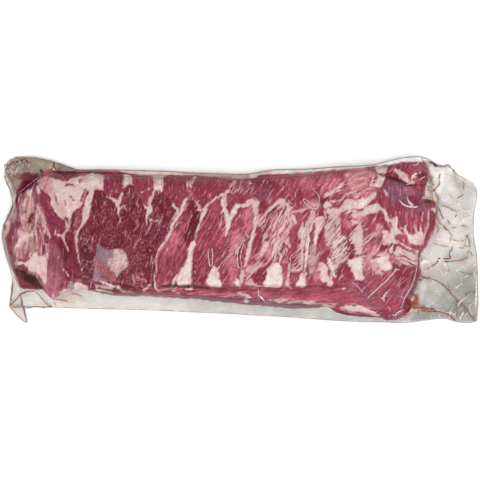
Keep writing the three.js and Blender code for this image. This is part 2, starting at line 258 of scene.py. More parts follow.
    ("purple", 1.2, [112,-42, 119,-39.5, 135,-31, 146,-29.5, 147,-23, 158,-23, 170,-22, 174,-24, 174,-35,
     168,-56, 160,-70, 150,-80, 138,-77, 132,-68, 125,-62]),
    ("flap", 2.5, [122,-36, 146,-31, 148,-34, 138,-42, 126,-52]),
    ("plum", 3, [150,-26, 170,-24, 170,-36, 158,-46, 150,-36]),
    ("flap", 3, [136,-44, 150,-40, 150,-58, 140,-66, 128,-54]),
    ("plum", 3.5, [138,-64, 146,-66, 147,-76, 140,-77, 136,-70]),
    # lower ends of the bands, between the wedges
    ("strip", 2, [-46,-6, -36,-6, -31,-30, -34,-44, -45,-44]),
    ("red", 2, [-20,-30, -14,-26, -9,-44, -19,-45]),
    ("plum", 1, [15,-31, 29,-23, 25,-29, 26,-32, 22,-43, 14,-42]),
    ("pink", 1, [40,-29, 46,-30, 46,-44, 40,-44]), ("wine", 1.5, [48,-30, 54,-31, 53,-45, 48,-45]),
    ("rose", 1.5, [40,-18, 46,-18, 47,-28, 41,-31]),
    ("membrane", 3, [-218,-4, -209,-2, -206,-9, -211,-15, -218,-13]),
    ("membrane", 3, [-204,-4, -196,-4, -196,-14, -203,-14]),
    ("wine", 2, [92,-42, 105,-42, 105,-47, 92,-47]), ("wine", 3, [138,-57, 154,-59, 152,-69, 141,-71]),
    ("plum", 1.5, [-164,-14, -158.5,-12, -158.5,-30, -164,-30]),
    ("plum", 1.5, [-46,-48, -32,-49, -32,-53, -46,-53]), ("wine", 3, [-44,4, -35,2, -36,-10, -43,-8]),
    ("salmon", 3, [113,26, 122,26, 122,18, 112,18]), ("salmon", 2, [119,-17, 127,-17, 127,-24, 119,-24]),
    ("pink", 4, [58,62, 68,62, 72,52, 68,48, 60,52]), ("salmon", 2, [70,-28, 77,-30, 76,-38, 71,-38]),
    ("pink", 3, [4,28, 12,26, 12,12, 5,10]), ("plum", 3, [-175,-40, -168,-40, -168,-49, -174,-50]),
    ("rose", 3, [-26,8, -17,8, -17,-2, -25,-2]), ("pink", 2, [100,22, 109,20, 106,12, 101,12]),
    ("wine", 2, [94,-34, 104,-34, 104,-42, 94,-42]), ("deep", 2, [-162,-12, -157,-14, -156,-31, -161,-31]),
]

# Fat and bone with an outline of their own: paint, outline
FAT_PATCHES = [
    # the pad at the left end, with its tail down to the cream seam
    ("fat", [-194,60, -187,61.5, -171,57, -155,62, -133.5,63.5, -133,48, -140.5,48, -147,21, -156.5,9,
     -153.3,17, -153,25, -147.3,44, -154,32, -159,29.5, -162,25, -165,14, -168,12, -170,19, -174,21,
     -183,34, -183,40, -187,47, -191,49]), ("pink fat", [-194,60, -184,61, -181,54, -184,46, -193,50]),
    ("grey fat", [-180,34, -172,36, -168,27, -170,20]),
    ("white fat", [-196.5,51, -194.5,52, -193,46, -196,45]),
    ("fat", [-207,46, -203,49, -201,48, -203,40.5]),
    ("fat", [-207,-21, -200,-13, -197,-12, -195,-15, -188,-16, -187,-20, -186.5,-36, -187,-42, -190,-42,
     -195,-34, -204,-30, -206,-26, -210,-24, -217,-24, -218,-21]),
    ("pink fat", [-213,10, -203,4.5, -207,-2, -218,-9, -214,2]),
    ("fat", [-173,-52, -168,-46.5, -162,-48, -161,-43, -158,-41, -150,-44, -149,-51]),
    # seams that widen into blocks along the back
    ("fat", [-112,63, -107,63.5, -108,60, -103.5,53, -107,54, -113,50.5, -111.5,58]),
    ("grey fat", [-87,65, -84,60, -84,55, -75,55, -74,60, -67,65]),
    ("white fat", [-84,56, -75,56, -75,47, -80,48.5, -83,47.5]),
    # wedges standing on the fold line
    ("white fat", [-44,0.5, -43.5,-4, -45.5,-10, -47,-38, -49,-43.5, -60,-44, -62.5,-37, -60,-34, -52,-18,
     -49,-5]), ("white fat", [-22.5,-27, -19,-42, -19,-46, -29,-46, -33,-39, -27.5,-27]),
    ("white fat", [-3,-37, -1,-38, -0.5,-45, -5.5,-42.5]), ("fat", [0,-30, 4,-31, 3,-38, 0,-44]),
    ("pink fat", [5.5,-44.5, 9,-37.5, 11,-38, 14,-42.5, 21,-44.5]),
    ("white fat", [36.5,-21.5, 39,-24, 41.3,-33, 39,-45.5, 22.5,-45, 26,-33, 25,-29.5, 31,-23]),
    ("white fat", [61,-31, 53.5,-43, 55,-45, 63,-45]),
    ("fat", [75.5,-22.5, 79,-22, 84.5,-26, 85,-33, 89,-37, 89,-44.5, 84,-44, 84,-41, 79,-41, 77,-38, 77,-31,
     75,-29]), ("white fat", [103.5,-21, 118,-16, 118,-30, 120,-38.5, 112,-38, 107,-28]),
    ("white fat", [127,-20.5, 140,-14, 144,-14, 143.5,-21.5, 146,-22.5, 146,-29, 137,-30, 131,-23]),
    ("pink fat", [127,-22, 133,-23, 137,-30, 136,-34, 128,-30]),
    # pale fat among the bands
    ("fat", [60,18, 62,14, 61.5,4, 59,1, 55.5,5]),
    ("white fat", [72,20, 79,23, 81,19, 76,4, 75,-2, 71,-4, 72,10]),
    ("fat", [24,-1, 28,-5, 20,-16, 20,-10]), ("fat", [107,1, 112,12, 117.5,14, 117.5,-11, 112,-13, 110,-4]),
    # the broad pale bands of the right half
    ("fat", [82,36, 85,36.5, 88,34, 89,31, 95,31, 106,39, 111,37, 118,41, 121,40, 128,46, 131,46, 131,41,
     126,38, 119,31, 100,28, 94,24, 84,26, 82,30, 80,32.5]),
    ("white fat", [112,38, 118,40, 122,38, 118,30.5, 112,31]),
    ("fat", [108,25, 118,28, 120,30.5, 130,36, 134.5,35, 135,32, 140.5,28, 144,20, 147,20, 148,22, 152,21.5,
     153,10.5, 161,3, 158,4.7, 150,5, 149,0, 146,-2, 140,-2, 138,0, 138,5, 136,8.5, 140,10, 145,6, 143.5,16,
     140,19, 138,26, 134.5,28.5, 132,26.5, 114,22, 108,22]),
    ("fat", [161,5, 168,5, 171,8, 174,7.5, 176,9, 177,-4, 165,-3.5]),
    ("fat", [149,-14, 152,-6, 156,-8.5, 170,-14, 171.5,-18, 168,-20, 162,-18, 158,-14.5, 153,-13]),
    # the corner by the back rim
    ("white fat", [131,70, 140,70.5, 142,69, 141,66, 141.5,65, 133,64]),
    ("white fat", [133,63, 140,60, 135,51, 128,51, 132,59]),
    ("fat", [150,69, 160,63.5, 163.5,57.5, 168,57, 167,54, 158,57, 152,63]),
]

# Seams of fat, and a few painted highlights drawn as white fat: paint, half width, lines
FAT_SEAMS_AND_GLINTS = [
    ("white fat", 0.5, [-203,47, -210,34], [-189,-3, -188,-10, -192,-21]),
    ("fat", 0.5, [-212,46, -214,40, -213,34], [-193,9, -189.5,0]),
    ("white fat", 0.6, [-190,15, -189,10, -184,2]),
    ("fat", 0.6, [-213,25, -210,21, -206,19], [-177.5,12, -180,5]),
    ("pink fat", 0.7, [-199,12, -197,2, -196,-8], [-117,29, -113,33, -110,28], [-84,18, -78.5,18.5, -79,16],
     [118,48, 124,49.5, 130,49], [99,48, 108,56], [110,50, 126,54], [119,-1, 133,10], [176.5,27, 175.5,18],
     [146,-22, 149,-21, 152,-23, 155,-24]),
    # painted highlights drawn as white fat: the second and the last lines of this group
    ("white fat", 0.8, [-216,-20, -212,-22, -207,-22], [-219.5,-10, -211,0.5, -202,4.5, -200.5,2],
     [-83.5,-35, -82,-45, -80,-49], [99,-46.8, 101,-46.5]),
    ("fat", 0, [-155.5,11,1.6, -158,5,1.3, -158,-8,0.9, -153,-30,0.4], [-164,17,0.6, -167,10,0.9,
     -171,4,1.2, -169,-3,0.7, -166,-12,0.4], [-171,4,1.2, -174,4,1.3, -177,5,0.6], [-128,42,0.5, -119,36,2,
     -117.5,24,0.7, -116,18,0.4], [-114,45,0.8, -117,36,1.8], [-83,48,1, -84,43,1, -87,37,1.6, -87.5,28,2.6,
     -89.2,25,1.6, -90.8,20,0.9, -90.5,15,0.5], [-94,36,0.6, -92,32,1.2, -90,31,1.2], [-50.5,39.5,0.8,
     -53,38,1.8, -58,27,1.4, -66,13,1.4, -66.5,10,1.5, -72,-1,1.1, -80,-12,0.8, -81.3,-35,0.6], [-61,-34,1,
     -65.5,-40,0.8, -65,-42,0.6], [-10,48,0.8, -13,46,1.6, -31,35,1, -35,27,2.2, -39,17,1.4, -43.5,1,0.6],
     [167,21,0.5, 168,12,0.9, 171,7,1.4], [175,15,0.5, 175,4,1.4], [98,-66,0.8, 107,-65.5,4, 119,-67.5,2.6,
     127,-71,2, 134,-73,0.6], [61,-27,1, 63,-32,1.5, 61,-35,2.2]),
    ("pink fat", 1.2, [-190,14, -187,11, -186,7, -184,3], [-196,34, -193,26, -189,19, -187,12], [-60,-52,
     -58,-53], [171,-11, 170.5,-15, 171,-19], [85,-6, 88,-9, 89,-13]),
    ("fat", 1.2, [-187,-4, -187,-16], [-95.5,46, -94,46.5], [84,1, 90,8], [46,-22, 47,-28, 45.5,-40, 46,-44,
     49,-47], [119,-5, 134,8], [80,-62.5, 90,-65], [-4,-5, -3,-10, -5,-14], [-204,-31, -199,-32.5,
     -195,-36], [103,-19, 105,-22, 108,-24]),
    # painted highlights drawn as white fat: small glints on the meat
    ("white fat", 1.5, [-226,16, -224.5,18], [70,19, 74,17], [124,63.5, 126,63.5], [118.3,-15, 118.8,-16]),
    ("fat", 1, [-209,36, -207.5,39], [-44,60.5, -48,53, -47,50.5], [-91.5,48.5, -90.5,50], [-57,17, -65,11],
     [-65,34, -62.5,31, -60.5,29.5, -63,25], [12,-22, 5,-29], [105,12, 111,17], [47,-30, 52,-30, 60,-28],
     [119.5,9.5, 122.5,10.5], [150,-0.5, 162,-7.5, 172,-11.5], [164,-57, 168,-53, 170.5,-49], [-140,-44,
     -137,-48, -132,-50, -124,-51]), ("pink fat", 0.8, [-171,-28, -166,-35], [-181,-53, -178,-57]),
    ("pink fat", 1, [-51,52, -50,55, -48,57], [-66,-5, -70,-9], [-18,27, -19.5,14], [-46,40, -39,32],
     [143.5,16, 147,11.5], [156,12, 159,9, 160.5,6], [182.5,28, 181,14, 176.5,-1], [134,-8, 128,-13,
     122,-20, 119,-27], [-67,-46, -65,-48.5, -62.5,-46], [-94,-49, -90,-47, -86,-47]),
    ("fat", 0.8, [-89,48.5, -87,50.5], [87,37, 96,38.3, 100,42, 106,45.5, 110,44.5, 122,46]),
    ("fat", 0.7, [-60,27, -63,24, -68,15], [92,-22, 97,-21, 104,-16], [108,-41, 113,-44, 120,-53]),
    ("white fat", 0, [-13,46,1.2, -16,43,1.4, -17,38,1.6, -16.2,31,1.5, -12.5,22,3, -12,12,1.8, -14,4,0.8],
     [82,41.5,0.6, 85,45,1.7, 93,48,1.2, 98,54,1.2, 102,58.5,0.5, 103,62.5,1], [159.5,14,0.5, 161,6,1.1,
     163,3,1.2], [-156,57,2.5, -147,58,4.5, -140,56,3]),
    ("fat", 1.5, [-40.5,29, -38.5,28.5], [22,-22, 18,-25, 6,-38], [136,12.5, 138,12.5], [184.5,29.5,
     187,29.5, 188,28], [139,48.5, 140.5,46, 141.5,43], [-88.5,-43.5, -87,-43.5], [14.5,40, 16.2,36,
     16.5,32], [36,-11, 39,-15, 38,-20], [109,17, 113,17, 116,16], [102,26, 107,28, 112,27.5], [-88,23,
     -87,18], [-138,-44, -131,-46, -124,-47]),
    ("white fat", 2.2, [2,34, -2,33, -5,30, -9,22, -12,14], [68,20, 63,12, 60,-6], [104,-19, 108,-21,
     107,-25]), ("fat", 2.6, [0,33.5, 5,34, 9,36.5, 12.5,37, 14,32, 15,24], [-107,61, -106,55]),
    ("fat", 1.8, [15,24, 15,18, 10,-3, 6,-18, 5,-25], [24,25, 35,35.5, 43,35.5, 46,31.5, 46.5,22], [-2,-52,
     2,-52.5, 6,-53.5, 9,-55.5], [62,-60.5, 68,-59.5], [84,43, 95,47.5], [49,24, 52,20, 53,16], [128,62,
     127.5,57, 126,52], [110,41, 114,43], [101,37, 106,38.5, 110,38], [132,-14, 136,-14.5, 141,-12.5],
     [45,-44, 49,-46.5]), ("grey fat", 1.8, [46,22, 48.5,18, 50,14]),
    ("pink fat", 1.5, [47,26, 58,29], [58,27, 63,30, 68,31], [43,-1, 46,-4, 48,-7]),
    ("pink fat", 1.8, [24,24, 20,20, 17,15], [36,31, 40,33, 42,30]),
    ("peach fat", 2.6, [69,28, 70,23, 67,20]),
    # painted highlight drawn as white fat: the fourth line of this group, at x 147
    ("white fat", 1.8, [65.5,14, 65,-5, 62.4,-25], [60,2, 59.3,-28], [85,-18, 87,-22, 88,-28, 92,-35],
     [147,-5.5, 146,-9, 146,-12], [5,-59, 7,-59], [-110.5,61, -111,56, -112,53]),
    ("pink fat", 0, [81,28,0.8, 83,22,0.9, 81,20,0.7, 81,18,0.5]), ("grey fat", 1.2, [-8,-52.5, -6,-52.5]),
    ("grey fat", 0.5, [24,-60, 28,-60.5, 32,-58, 44,-59]),
    ("white fat", 1, [-46,-46, -48,-48, -52,-47.5], [-136,-40, -124,-44.5, -118,-45.5, -114,-49]),
    ("grey fat", 1, [-114,-50, -103,-50]),
    ("fat", 2.2, [69,20, 69.5,15.5, 67.5,9], [-14,44, -15,38, -14.5,33], [88,-31, 88.5,-36], [150,68,
     154,64, 158,60], [84,28, 88,25, 90,20], [139,-4, 143,-2, 147,-1]),
    ("white fat", 2.6, [139,4, 143,0, 147,-1, 150,-2.5]), ("fat", 3, [36,37, 40,37, 44,35]),
]

# Strokes of meat on the fat or on other meat: paint, half width, lines
FLECKS = [
    # painted shade: the brown stroke after the first red fleck darkens the fat beside it
    ("red", 1.2, [-168,52.5, -165.5,53.5, -162,53.5]), ("brown", 0.8, [-161.5,52, -159.5,51.5]),
    ("plum", 1, [-164.5,42, -161,38.5], [-190,12, -188,9], [-199.5,31, -197,29], [-12,-17, -16,-21,
     -18,-28], [144.5,16.5, 147,13]), ("rose", 0.8, [-179.3,44, -176.3,33.5]),
    ("salmon", 0.8, [-170,38, -169,34], [-187,47, -190,58], [-103.5,-8, -98.5,0]),
    ("salmon", 1.8, [-155,58, -154,57]), ("salmon", 1, [-190,52, -187,56, -185,60], [-91.5,5, -86,16]),
    ("plum", 1.5, [-147.3,46, -152,33], [-169,21, -167,20, -166,16], [49,-25, 50.5,-27]),
    ("plum", 0, [-147.3,46,0.8, -149.3,48,0.7, -151.2,45,0.7, -154.3,38,0.7]),
    ("pink", 0.8, [-149.3,45.5, -152.5,37]),
    ("plum", 0.8, [-214,44, -213,38, -215,32], [-195.5,16, -192,13, -191,4], [41,-7.5, 39,-9, 38,-11.5],
     [86,31.3, 87,31], [84,29.5, 84.5,28.5], [91,-19, 98,-14, 104,-6]),
    ("plum", 1.2, [-210,44, -209,39], [61.5,-26, 61.5,-28], [17.5,-14, 18.5,-17]),
    ("salmon", 2.6, [-119,-13, -117,-15]), ("salmon", 2.2, [-156,-50, -154,-50]),
    ("fleck", 0.7, [-99.5,20, -100.5,17, -99,14, -103,9]),
    ("fleck", 0.8, [-107,47, -109,44], [-108,4, -108,1], [-114,7, -112,8]),
    ("fleck", 1, [-100,36, -98.5,32], [-112,31, -110,28]),
    ("pink fat", 1, [-99,-36, -98,-39], [-103.5,-34, -102.5,-41]),
    ("pink fat", 0.8, [-97,-37, -93,-38, -91,-40], [-94.5,-33, -94,-33]),
    ("purple", 1.5, [71,15, 68,-4, 67,-14]), ("wine", 1.5, [83,14, 76.5,1, 75,-4]),
    ("deep", 1, [81,39, 84,40]), ("salmon", 1.5, [83,6, 85,6.5]), ("deep", 1.2, [104,19, 107,20]),
    ("red", 1, [86.5,-30.5, 87.5,-30.5]), ("plum", 1.8, [48,-18, 51,-21]), ("red", 0.8, [84,-41, 82,-43]),
    ("wine", 0, [153,13,1.2, 158,7,0.6]), ("red", 0, [157,-13.5,1.2, 160.5,-15,1.2, 164,-15.5,0.6]),
    ("salmon", 1.2, [129,-23.5, 131,-26.5, 133,-28]), ("shadow", 1.5, [74.2,-60.5, 75,-60.5]),
    ("brown", 1.2, [104,-63, 106,-63], [109,-64, 111,-64]),
    ("brown", 1, [27,-47.5, 28,-47.5], [85,-65.5, 88,-67.3, 91,-70, 100,-71, 105,-73, 118,-75, 128,-74.5]),
]

# Patches that cover meat and fat alike: paint, softness, outline
OVERLAYS = [
    ("pink fat", 3, [62,34, 73,29, 77,33, 73,38]),
    # bluish cartilage with its cap of bone and the rusty meat round it
    ("cartilage", 0.7, [-139,-3.5, -136,-4, -130,-9.5, -122,-9.5, -124,-17, -128,-18, -129,-21, -128,-26,
     -140,-40, -141.5,-30, -138.5,-8]),
    ("cartilage", 0.8, [-164,-40, -161,-42, -161.5,-47, -165,-48, -167,-45]),
    ("rust", 1.5, [-139,-18, -128,-27, -120,-35, -121,-40, -127,-40, -133,-34, -138,-30]),
    ("cartilage", 1.5, [-138,-35, -134,-37, -128,-40, -139,-40]),
    ("bone", 0.8, [-122,-9.5, -113,-10, -108.5,-20, -109,-26, -116,-31, -118,-35, -120,-35, -122,-31,
     -126,-29, -129,-18, -124,-17, -122,-13]),
    ("fat", 1.2, [-121,-11, -115,-12, -111,-18, -113,-25, -119,-26, -122,-18]),
    # the hollow at the left end: painted shade deep in it, and painted highlights on its upper rim
    ("deep dark", 0.9, [-219,-27, -215,-24.5, -209,-26, -203,-31, -197,-33, -190,-46, -200,-46, -210,-47,
     -214,-38]), ("shadow", 1.5, [-211,-30, -205,-34, -199,-36, -194,-44, -207,-43]),
    ("plum", 2, [-214,-34, -211,-45, -200,-46.5, -201,-43, -208,-40, -212,-32]),
    # painted highlights on the hollow's upper rim: this patch and the next
    ("rim grey", 1.2, [-217,-27, -212,-29, -207,-28.5, -214,-25.5]),
    ("rim grey", 1, [-207,-31, -204,-33.5, -200,-33.5, -203,-31.5]),
    ("shadow", 1, [-203,-36, -197,-37.5, -195,-42, -200,-41]),
    ("hollow wall", 0.7, [-203,-31.2, -198,-32.7, -191,-42.5, -190.3,-46, -198,-35.2]),
    # the back left corner: a band of painted shade along its back edge, under the film
    ("brown", 1, [-184,66, -184,61, -162,61.5, -157,64, -140,65.5, -140,67, -184,68]),
    ("brown", 1, [-140,65.5, -132,65.5, -132,62.8, -140,63.5]),
    ("rim grey", 1, [-223,-16, -216,-16, -215,-25, -221,-26]),
    ("rim grey", 1.2, [-185,64.5, -176,64, -172,61.5, -183,61.5]),
    ("dark juice", 1, [-217,43, -212,56, -211,59, -200,59, -192,63.5, -192,61.5, -199,55.5]),
]

# Fine pale streaks: how far they cover plain muscle, the areas that have none, and the zones that have
# more of them, each with its direction in degrees, share that is fat, paint and outline
BASE_STREAKS = 0.07
SMOOTH_AREAS = [
    ((-196, 48), (-182, 46), (-166, 18), (-156, 6), (-156, -36), (-168, -46), (-182, -62), (-192, -48),
     (-188, 0), (-190, 18)), ((136, 60), (186, 56), (192, 30), (182, 10), (150, 24), (138, 32)),
    ((112, -40), (130, -31), (176, -20), (172, -60), (150, -82), (112, -60)),
    ((-80, -46), (110, -46), (128, -66), (90, -70), (-60, -58)),
]
STREAK_ZONES = [
    (50, 0.45, "fat", [100,-12, 114,-8, 118,-16, 114,-20, 102,-18]),
    (-25, 0.56, "fat", [149,-10, 171,-13, 171,-25, 158,-24, 150,-18]),
    (45, 0.52, "fat", [86,-14, 109,-13, 107,-22, 98,-23, 92,-32, 86,-28]),
    (12, 0.36, "pink fat", [-78,-47, -60,-46.5, -40,-47, -40,-53, -60,-53, -78,-51]),
    (8, 0.6, "grey fat", [24,-58, 64,-56.5, 76,-59.5, 98,-63, 98,-70, 86,-66]),
    (4, 0.55, "grey fat", [-26,-50, -12,-51.5, -6,-50.5, -3,-55, -14,-54.5, -40,-53.5]),
    (60, 0.44, "fat", [24,20, 40,32, 50,32, 50,10, 42,-8, 36,-22, 24,-14, 20,0]),
    (62, 0.52, "fat", [38,16, 46,20, 49,14, 42,-20, 36,-20, 36,-4]),
    (50, 0.66, "white fat", [-10,-2, 0,8, 2,-4, -12,-20]),
    (40, 0.42, "pink fat", [14,-14, 28,-12, 28,-22, 14,-30, 4,-38, 2,-32]),
    (52, 0.5, "pink fat", [15,23, 24,24, 24,15, 16,13]),
    (45, 0.6, "pink fat", [55,0, 60,-2, 60,-28, 50,-31, 49,-18, 53,-12]),
    (50, 0.7, "fat", [84,22, 96,24, 97,4, 92,-6, 84,-8, 81,4]),
    (50, 0.54, "grey fat", [66,-6, 76,-6, 78,-12, 72,-24, 70,-32, 66,-32]),
    (48, 0.62, "white fat", [92,2, 102,4, 102,-12, 90,-20, 88,-14]),
    (50, 0.5, "fat", [104,2, 112,16, 118,14, 119,-12, 112,-14]),
    (46, 0.22, "pink fat", [119,2, 130,10, 132,-2, 128,-14, 118,-22]),
    (50, 0.5, "fat", [119,-18, 126,-18, 134,-24, 136,-33, 128,-32, 126,-22]),
    (56, 0.36, "pink fat", [-14,48, -4,58, 10,58, 12,50, 0,44]),
    (62, 0.16, "salmon", [30,62, 80,66, 80,54, 60,50, 34,54]),
    (82, 0.28, "pink fat", [-214,30, -200,40, -190,20, -188,-10, -196,-14, -206,4]),
    (62, 0.34, "pink fat", [-198,60, -184,60, -182,46, -190,46]),
    (92, 0.28, "pink", [150,28, 160,26, 184,22, 184,8, 162,6, 150,16]),
    (66, 0.28, "pink", [-78,-6, -52,26, -50,6, -58,-20, -70,-42, -80,-42]),
    (60, 0.26, "pink", [-40,16, -26,36, -18,30, -20,6, -30,-40, -44,-42]),
    (58, 0.4, "salmon", [-10,10, 6,32, 14,32, 12,12, 4,-8, -14,-40, -18,-24]),
    (22, 0.3, "pink fat", [92,54, 102,66, 128,66, 128,50, 100,42, 90,43]),
    (12, 0.14, "pink", [-70,-47, 0,-47, 100,-46, 126,-56, 100,-60, -40,-53]),
    (52, 0.2, "salmon", [134,-34, 166,-26, 166,-40, 150,-62, 136,-58]),
    (80, 0.24, "pink", [-84,-30, -84,-42, -104,-44, -106,-34]),
]

# Shadowed folds: depth in millimetres, darkness, places as x,y,half width
FOLDS = [
    (0.5, 0.85, [-76,-44.5,0.8, -40,-45.2,1.1, -24,-46.5,0.4]),
    (0.3, 0.4, [-192,61,0.2, -193,55,0.4, -186,46,0.3]),
    (0.3, 0.35, [-191,61,0.2, -190.5,55,0.3, -187,50,0.3, -183,47,0.2]),
    (0.3, 0.3, [-189,60,0.2, -188,55,0.3, -181,48,0.2]),
    (0.3, 0.4, [-194,59,0.2, -195,54,0.4, -193,48,0.3]),
    (0.8, 0.55, [-70,-44.5,0.2, -40,-45.5,0.3, -20,-47,0.3, 0,-45.5,0.3, 40,-46.5,0.3, 70,-44.5,0.4,
     80,-45,0.4, 90,-47,0.3, 100,-40,0.4, 110,-41,0.4, 118,-41,0.2]),
    (0.8, 0.8, [123,70,0.3, 134,63,0.4, 150,58.5,1.2, 165,52.7,0.6, 180,54,0.4]),
    (0.4, 0.35, [141.5,64.5,0.9, 147,63.5,1, 152,60,0.7]),
    (0.4, 0.35, [131,72,0.2, 142,70.7,0.6, 153,69.8,0.7, 156,67.5,0.3]),
    (0.7, 0.75, [-160.5,28,0.5, -163,15,0.9, -162,10,0.6, -162.5,2,0.3]),
    (0.9, 0.3, [-217,-29,0.6, -212,-31,1.6, -202,-40,3, -198,-44,1.6]),
    (0.5, 0.2, [-208,-28,0.8, -202,-32,1.2, -191,-45,0.6]),
    (0.6, 0.6, [-169,-35,0.3, -165,-38,0.6, -160,-40,0.6]),
    (0.6, 0.6, [-156,-35,0.4, -139,-42,0.5, -129,-48,0.6, -118,-48,0.3]),
    (0.5, 0.4, [-178,60.5,0.3, -172,57.5,0.5, -166,58.5,0.6, -160,61.5,0.2]),
    (0.4, 0.5, [77,36,0.4, 83,40,0.2]), (0.3, 0.5, [82,24,0.3, 84,27,0.3]),
    (0.3, 0.5, [101,22,0.3, 105,20,0.4, 106,16,0.3]), (0.4, 0.5, [140,15,0.3, 142,13,0.4]),
    (0.4, 0.5, [146.5,-2,0.4, 148,-8,0.6, 146.5,-13,0.5]),
    (0.4, 0.3, [120,-41,0.3, 124,-46,0.3, 127,-52,0.2]),
    (0.3, 0.4, [-46.5,-4,0.1, -45.5,-30,0.3, -46,-42,0.3]),
    (0.3, 0.4, [-108,54,0.2, -112,51,0.2, -103,51,0.2]),
    (0.4, 0.4, [-90,-48,0.3, -70,-50,0.3, -50,-54,0.3]),
    (0.5, 0.4, [-122,-41,0.3, -106,-46,0.6, -98,-47.5,0.4]), (0.4, 0.4, [176,41,0.3, 186,39,0.3]),
    (0.3, 0.5, [156,38,0.5, 158,35.5,0.9]),
]

# Direction of the muscle fibres in degrees, by outline; elsewhere they follow the ribs
FIBRE_DEFAULT = 58
FIBRES = [
    (82, [-232,50, -196,50, -186,10, -187,-50, -225,-50]),
    (125, [-196,48, -184,46, -168,18, -172,4, -188,14]), (85, [-188,4, -160,4, -160,-60, -190,-60]),
    (72, [-158,10, -140,50, -100,56, -60,32, -82,-48, -150,-50]), (90, [-134,66, -48,66, -48,46, -134,46]),
    (92, [136,60, 184,56, 192,30, 176,-10, 150,4, 134,34]),
    (48, [112,-30, 176,-18, 170,-60, 150,-82, 112,-60]), (20, [88,46, 106,70, 132,70, 132,48]),
    (70, [154,78, 184,78, 182,52, 158,56]), (8, [-80,-46, 110,-46, 128,-66, 90,-70, -60,-58]),
]


# Colours and soft steps
def linear(colour):
    """A display colour from 0 to 255 as linear light."""
    share = np.asarray(colour, float) / 255
    return np.where(share <= 0.04045, share / 12.92, ((share + 0.055) / 1.055) ** 2.4)


def paint(name):
    """A paint as the meat's own colour: what the picture shows, less the film's veil."""
    return np.clip(linear(PAINTS[name]) - FILM_VEIL, 0.002, 0.95)


def smooth(low, high, value):
    share = np.clip((value - low) / (high - low), 0, 1)
    return share * share * (3 - 2 * share)


def lattice(ix, iy, seed):
    """A repeatable random value from -1 to 1 at each whole place."""
    mixed = ix.astype(np.int64) * 374761393 + iy.astype(np.int64) * 668265263 + seed * 974634777
    mixed = (mixed ^ (mixed >> 13)) * 1274126177
    mixed = mixed & 0x7FFFFFFF
    return ((mixed ^ (mixed >> 16)) & 0xFFFF) / 32767.5 - 1


def noise(x, y, size, seed):
    """Soft lumps of the given size, from -1 to 1."""
    u, v = x / size, y / size
    iu, iv = np.floor(u), np.floor(v)
    fu, fv = u - iu, v - iv
    fu, fv = fu * fu * (3 - 2 * fu), fv * fv * (3 - 2 * fv)
    low = lattice(iu, iv, seed) * (1 - fu) + lattice(iu + 1, iv, seed) * fu
    high = lattice(iu, iv + 1, seed) * (1 - fu) + lattice(iu + 1, iv + 1, seed) * fu
    return low * (1 - fv) + high * fv


def fractal(x, y, size, seed, octaves=3):
    total = np.zeros_like(x)
    for octave in range(octaves):
        total += noise(x, y, size / 2**octave, seed + octave) / 2**octave
    return total / (2 - 2.0 ** (1 - octaves))


def streaks(x, y, angle, length, width, seed):
    """Long soft stripes at an angle, from -1 to 1."""
    turn = math.radians(angle)
    along = x * math.cos(turn) + y * math.sin(turn)
    across = y * math.cos(turn) - x * math.sin(turn)
    bent = across + 0.5 * width * noise(along, across, 2.5 * length, seed + 7)
    return noise(along / length, bent / width, 1.0, seed)


# Outlines and seams as distances
def curve_through(points, closed, steps=4):
    """A smooth curve through points: a run of x,y pairs, or rows of any number of columns."""
    rows = np.array(points, float)
    rows = rows.reshape(-1, 2) if rows.ndim == 1 else rows
    count = len(rows)
    if closed:
        before, after, beyond = np.roll(rows, 1, 0), np.roll(rows, -1, 0), np.roll(rows, -2, 0)
        spans = count
    else:
        padded = np.vstack([2 * rows[0] - rows[1], rows, 2 * rows[-1] - rows[-2]])
        before, after, beyond = padded[:-3], padded[2:-1], padded[3:]
        spans = count - 1
    start = rows[:spans]
    made = []
    for t in np.arange(steps) / steps:
        made.append(0.5 * (2 * start + (after - before[:spans]) * t
                           + (2 * before[:spans] - 5 * start + 4 * after - beyond) * t**2
                           + (3 * start - before[:spans] - 3 * after + beyond) * t**3))
    curve = np.stack(made, 1).reshape(spans * steps, -1)
    return curve if closed else np.vstack([curve, rows[-1:]])


def near(x, y, curve, reach):
    """Which places lie in the curve's box, widened by reach."""
    low, high = curve[:, :2].min(0) - reach, curve[:, :2].max(0) + reach
    return (x > low[0]) & (x < high[0]) & (y > low[1]) & (y < high[1])


def distance_to(x, y, curve, closed):
    """Distance to the nearest stretch of a curve, less the half width there if it has one."""
    ends = np.roll(curve, -1, 0) if closed else curve[1:]
    starts = curve if closed else curve[:-1]
    best = np.full(x.shape, 1e9)
    for a, b in zip(starts, ends):
        run = b[:2] - a[:2]
        share = np.clip(((x - a[0]) * run[0] + (y - a[1]) * run[1]) / max(run @ run, 1e-9), 0, 1)
        gap = np.hypot(x - a[0] - share * run[0], y - a[1] - share * run[1])
        if len(a) > 2:
            gap = gap - (a[2] + share * (b[2] - a[2]))
        best = np.minimum(best, gap)
    return best


def depth_inside(x, y, curve):
    """Distance to a closed outline, positive inside it."""
    inside = np.zeros(x.shape, bool)
    for a, b in zip(curve, np.roll(curve, -1, 0)):
        crosses = (a[1] > y) != (b[1] > y)
        rise = b[1] - a[1] if b[1] != a[1] else 1e-9
        inside ^= crosses & (x < (b[0] - a[0]) * (y - a[1]) / rise + a[0])
    gap = distance_to(x, y, curve[:, :2], True)
    return np.where(inside, gap, -gap)


# What is left of a line's half width at its two ends
END_SHARE = 0.65


def strokes(groups):
    """Each line of the groups as its paint and its rows of x, y and half width."""
    made = []
    for colour, half, *lines in groups:
        for line in lines:
            rows = np.reshape(line, (-1, 2 if half else 3))
            if half:
                widths = np.full(len(rows), float(half))
                widths[[0, -1]] *= END_SHARE
                rows = np.column_stack([rows, widths])
            made.append((colour, rows))
    return made


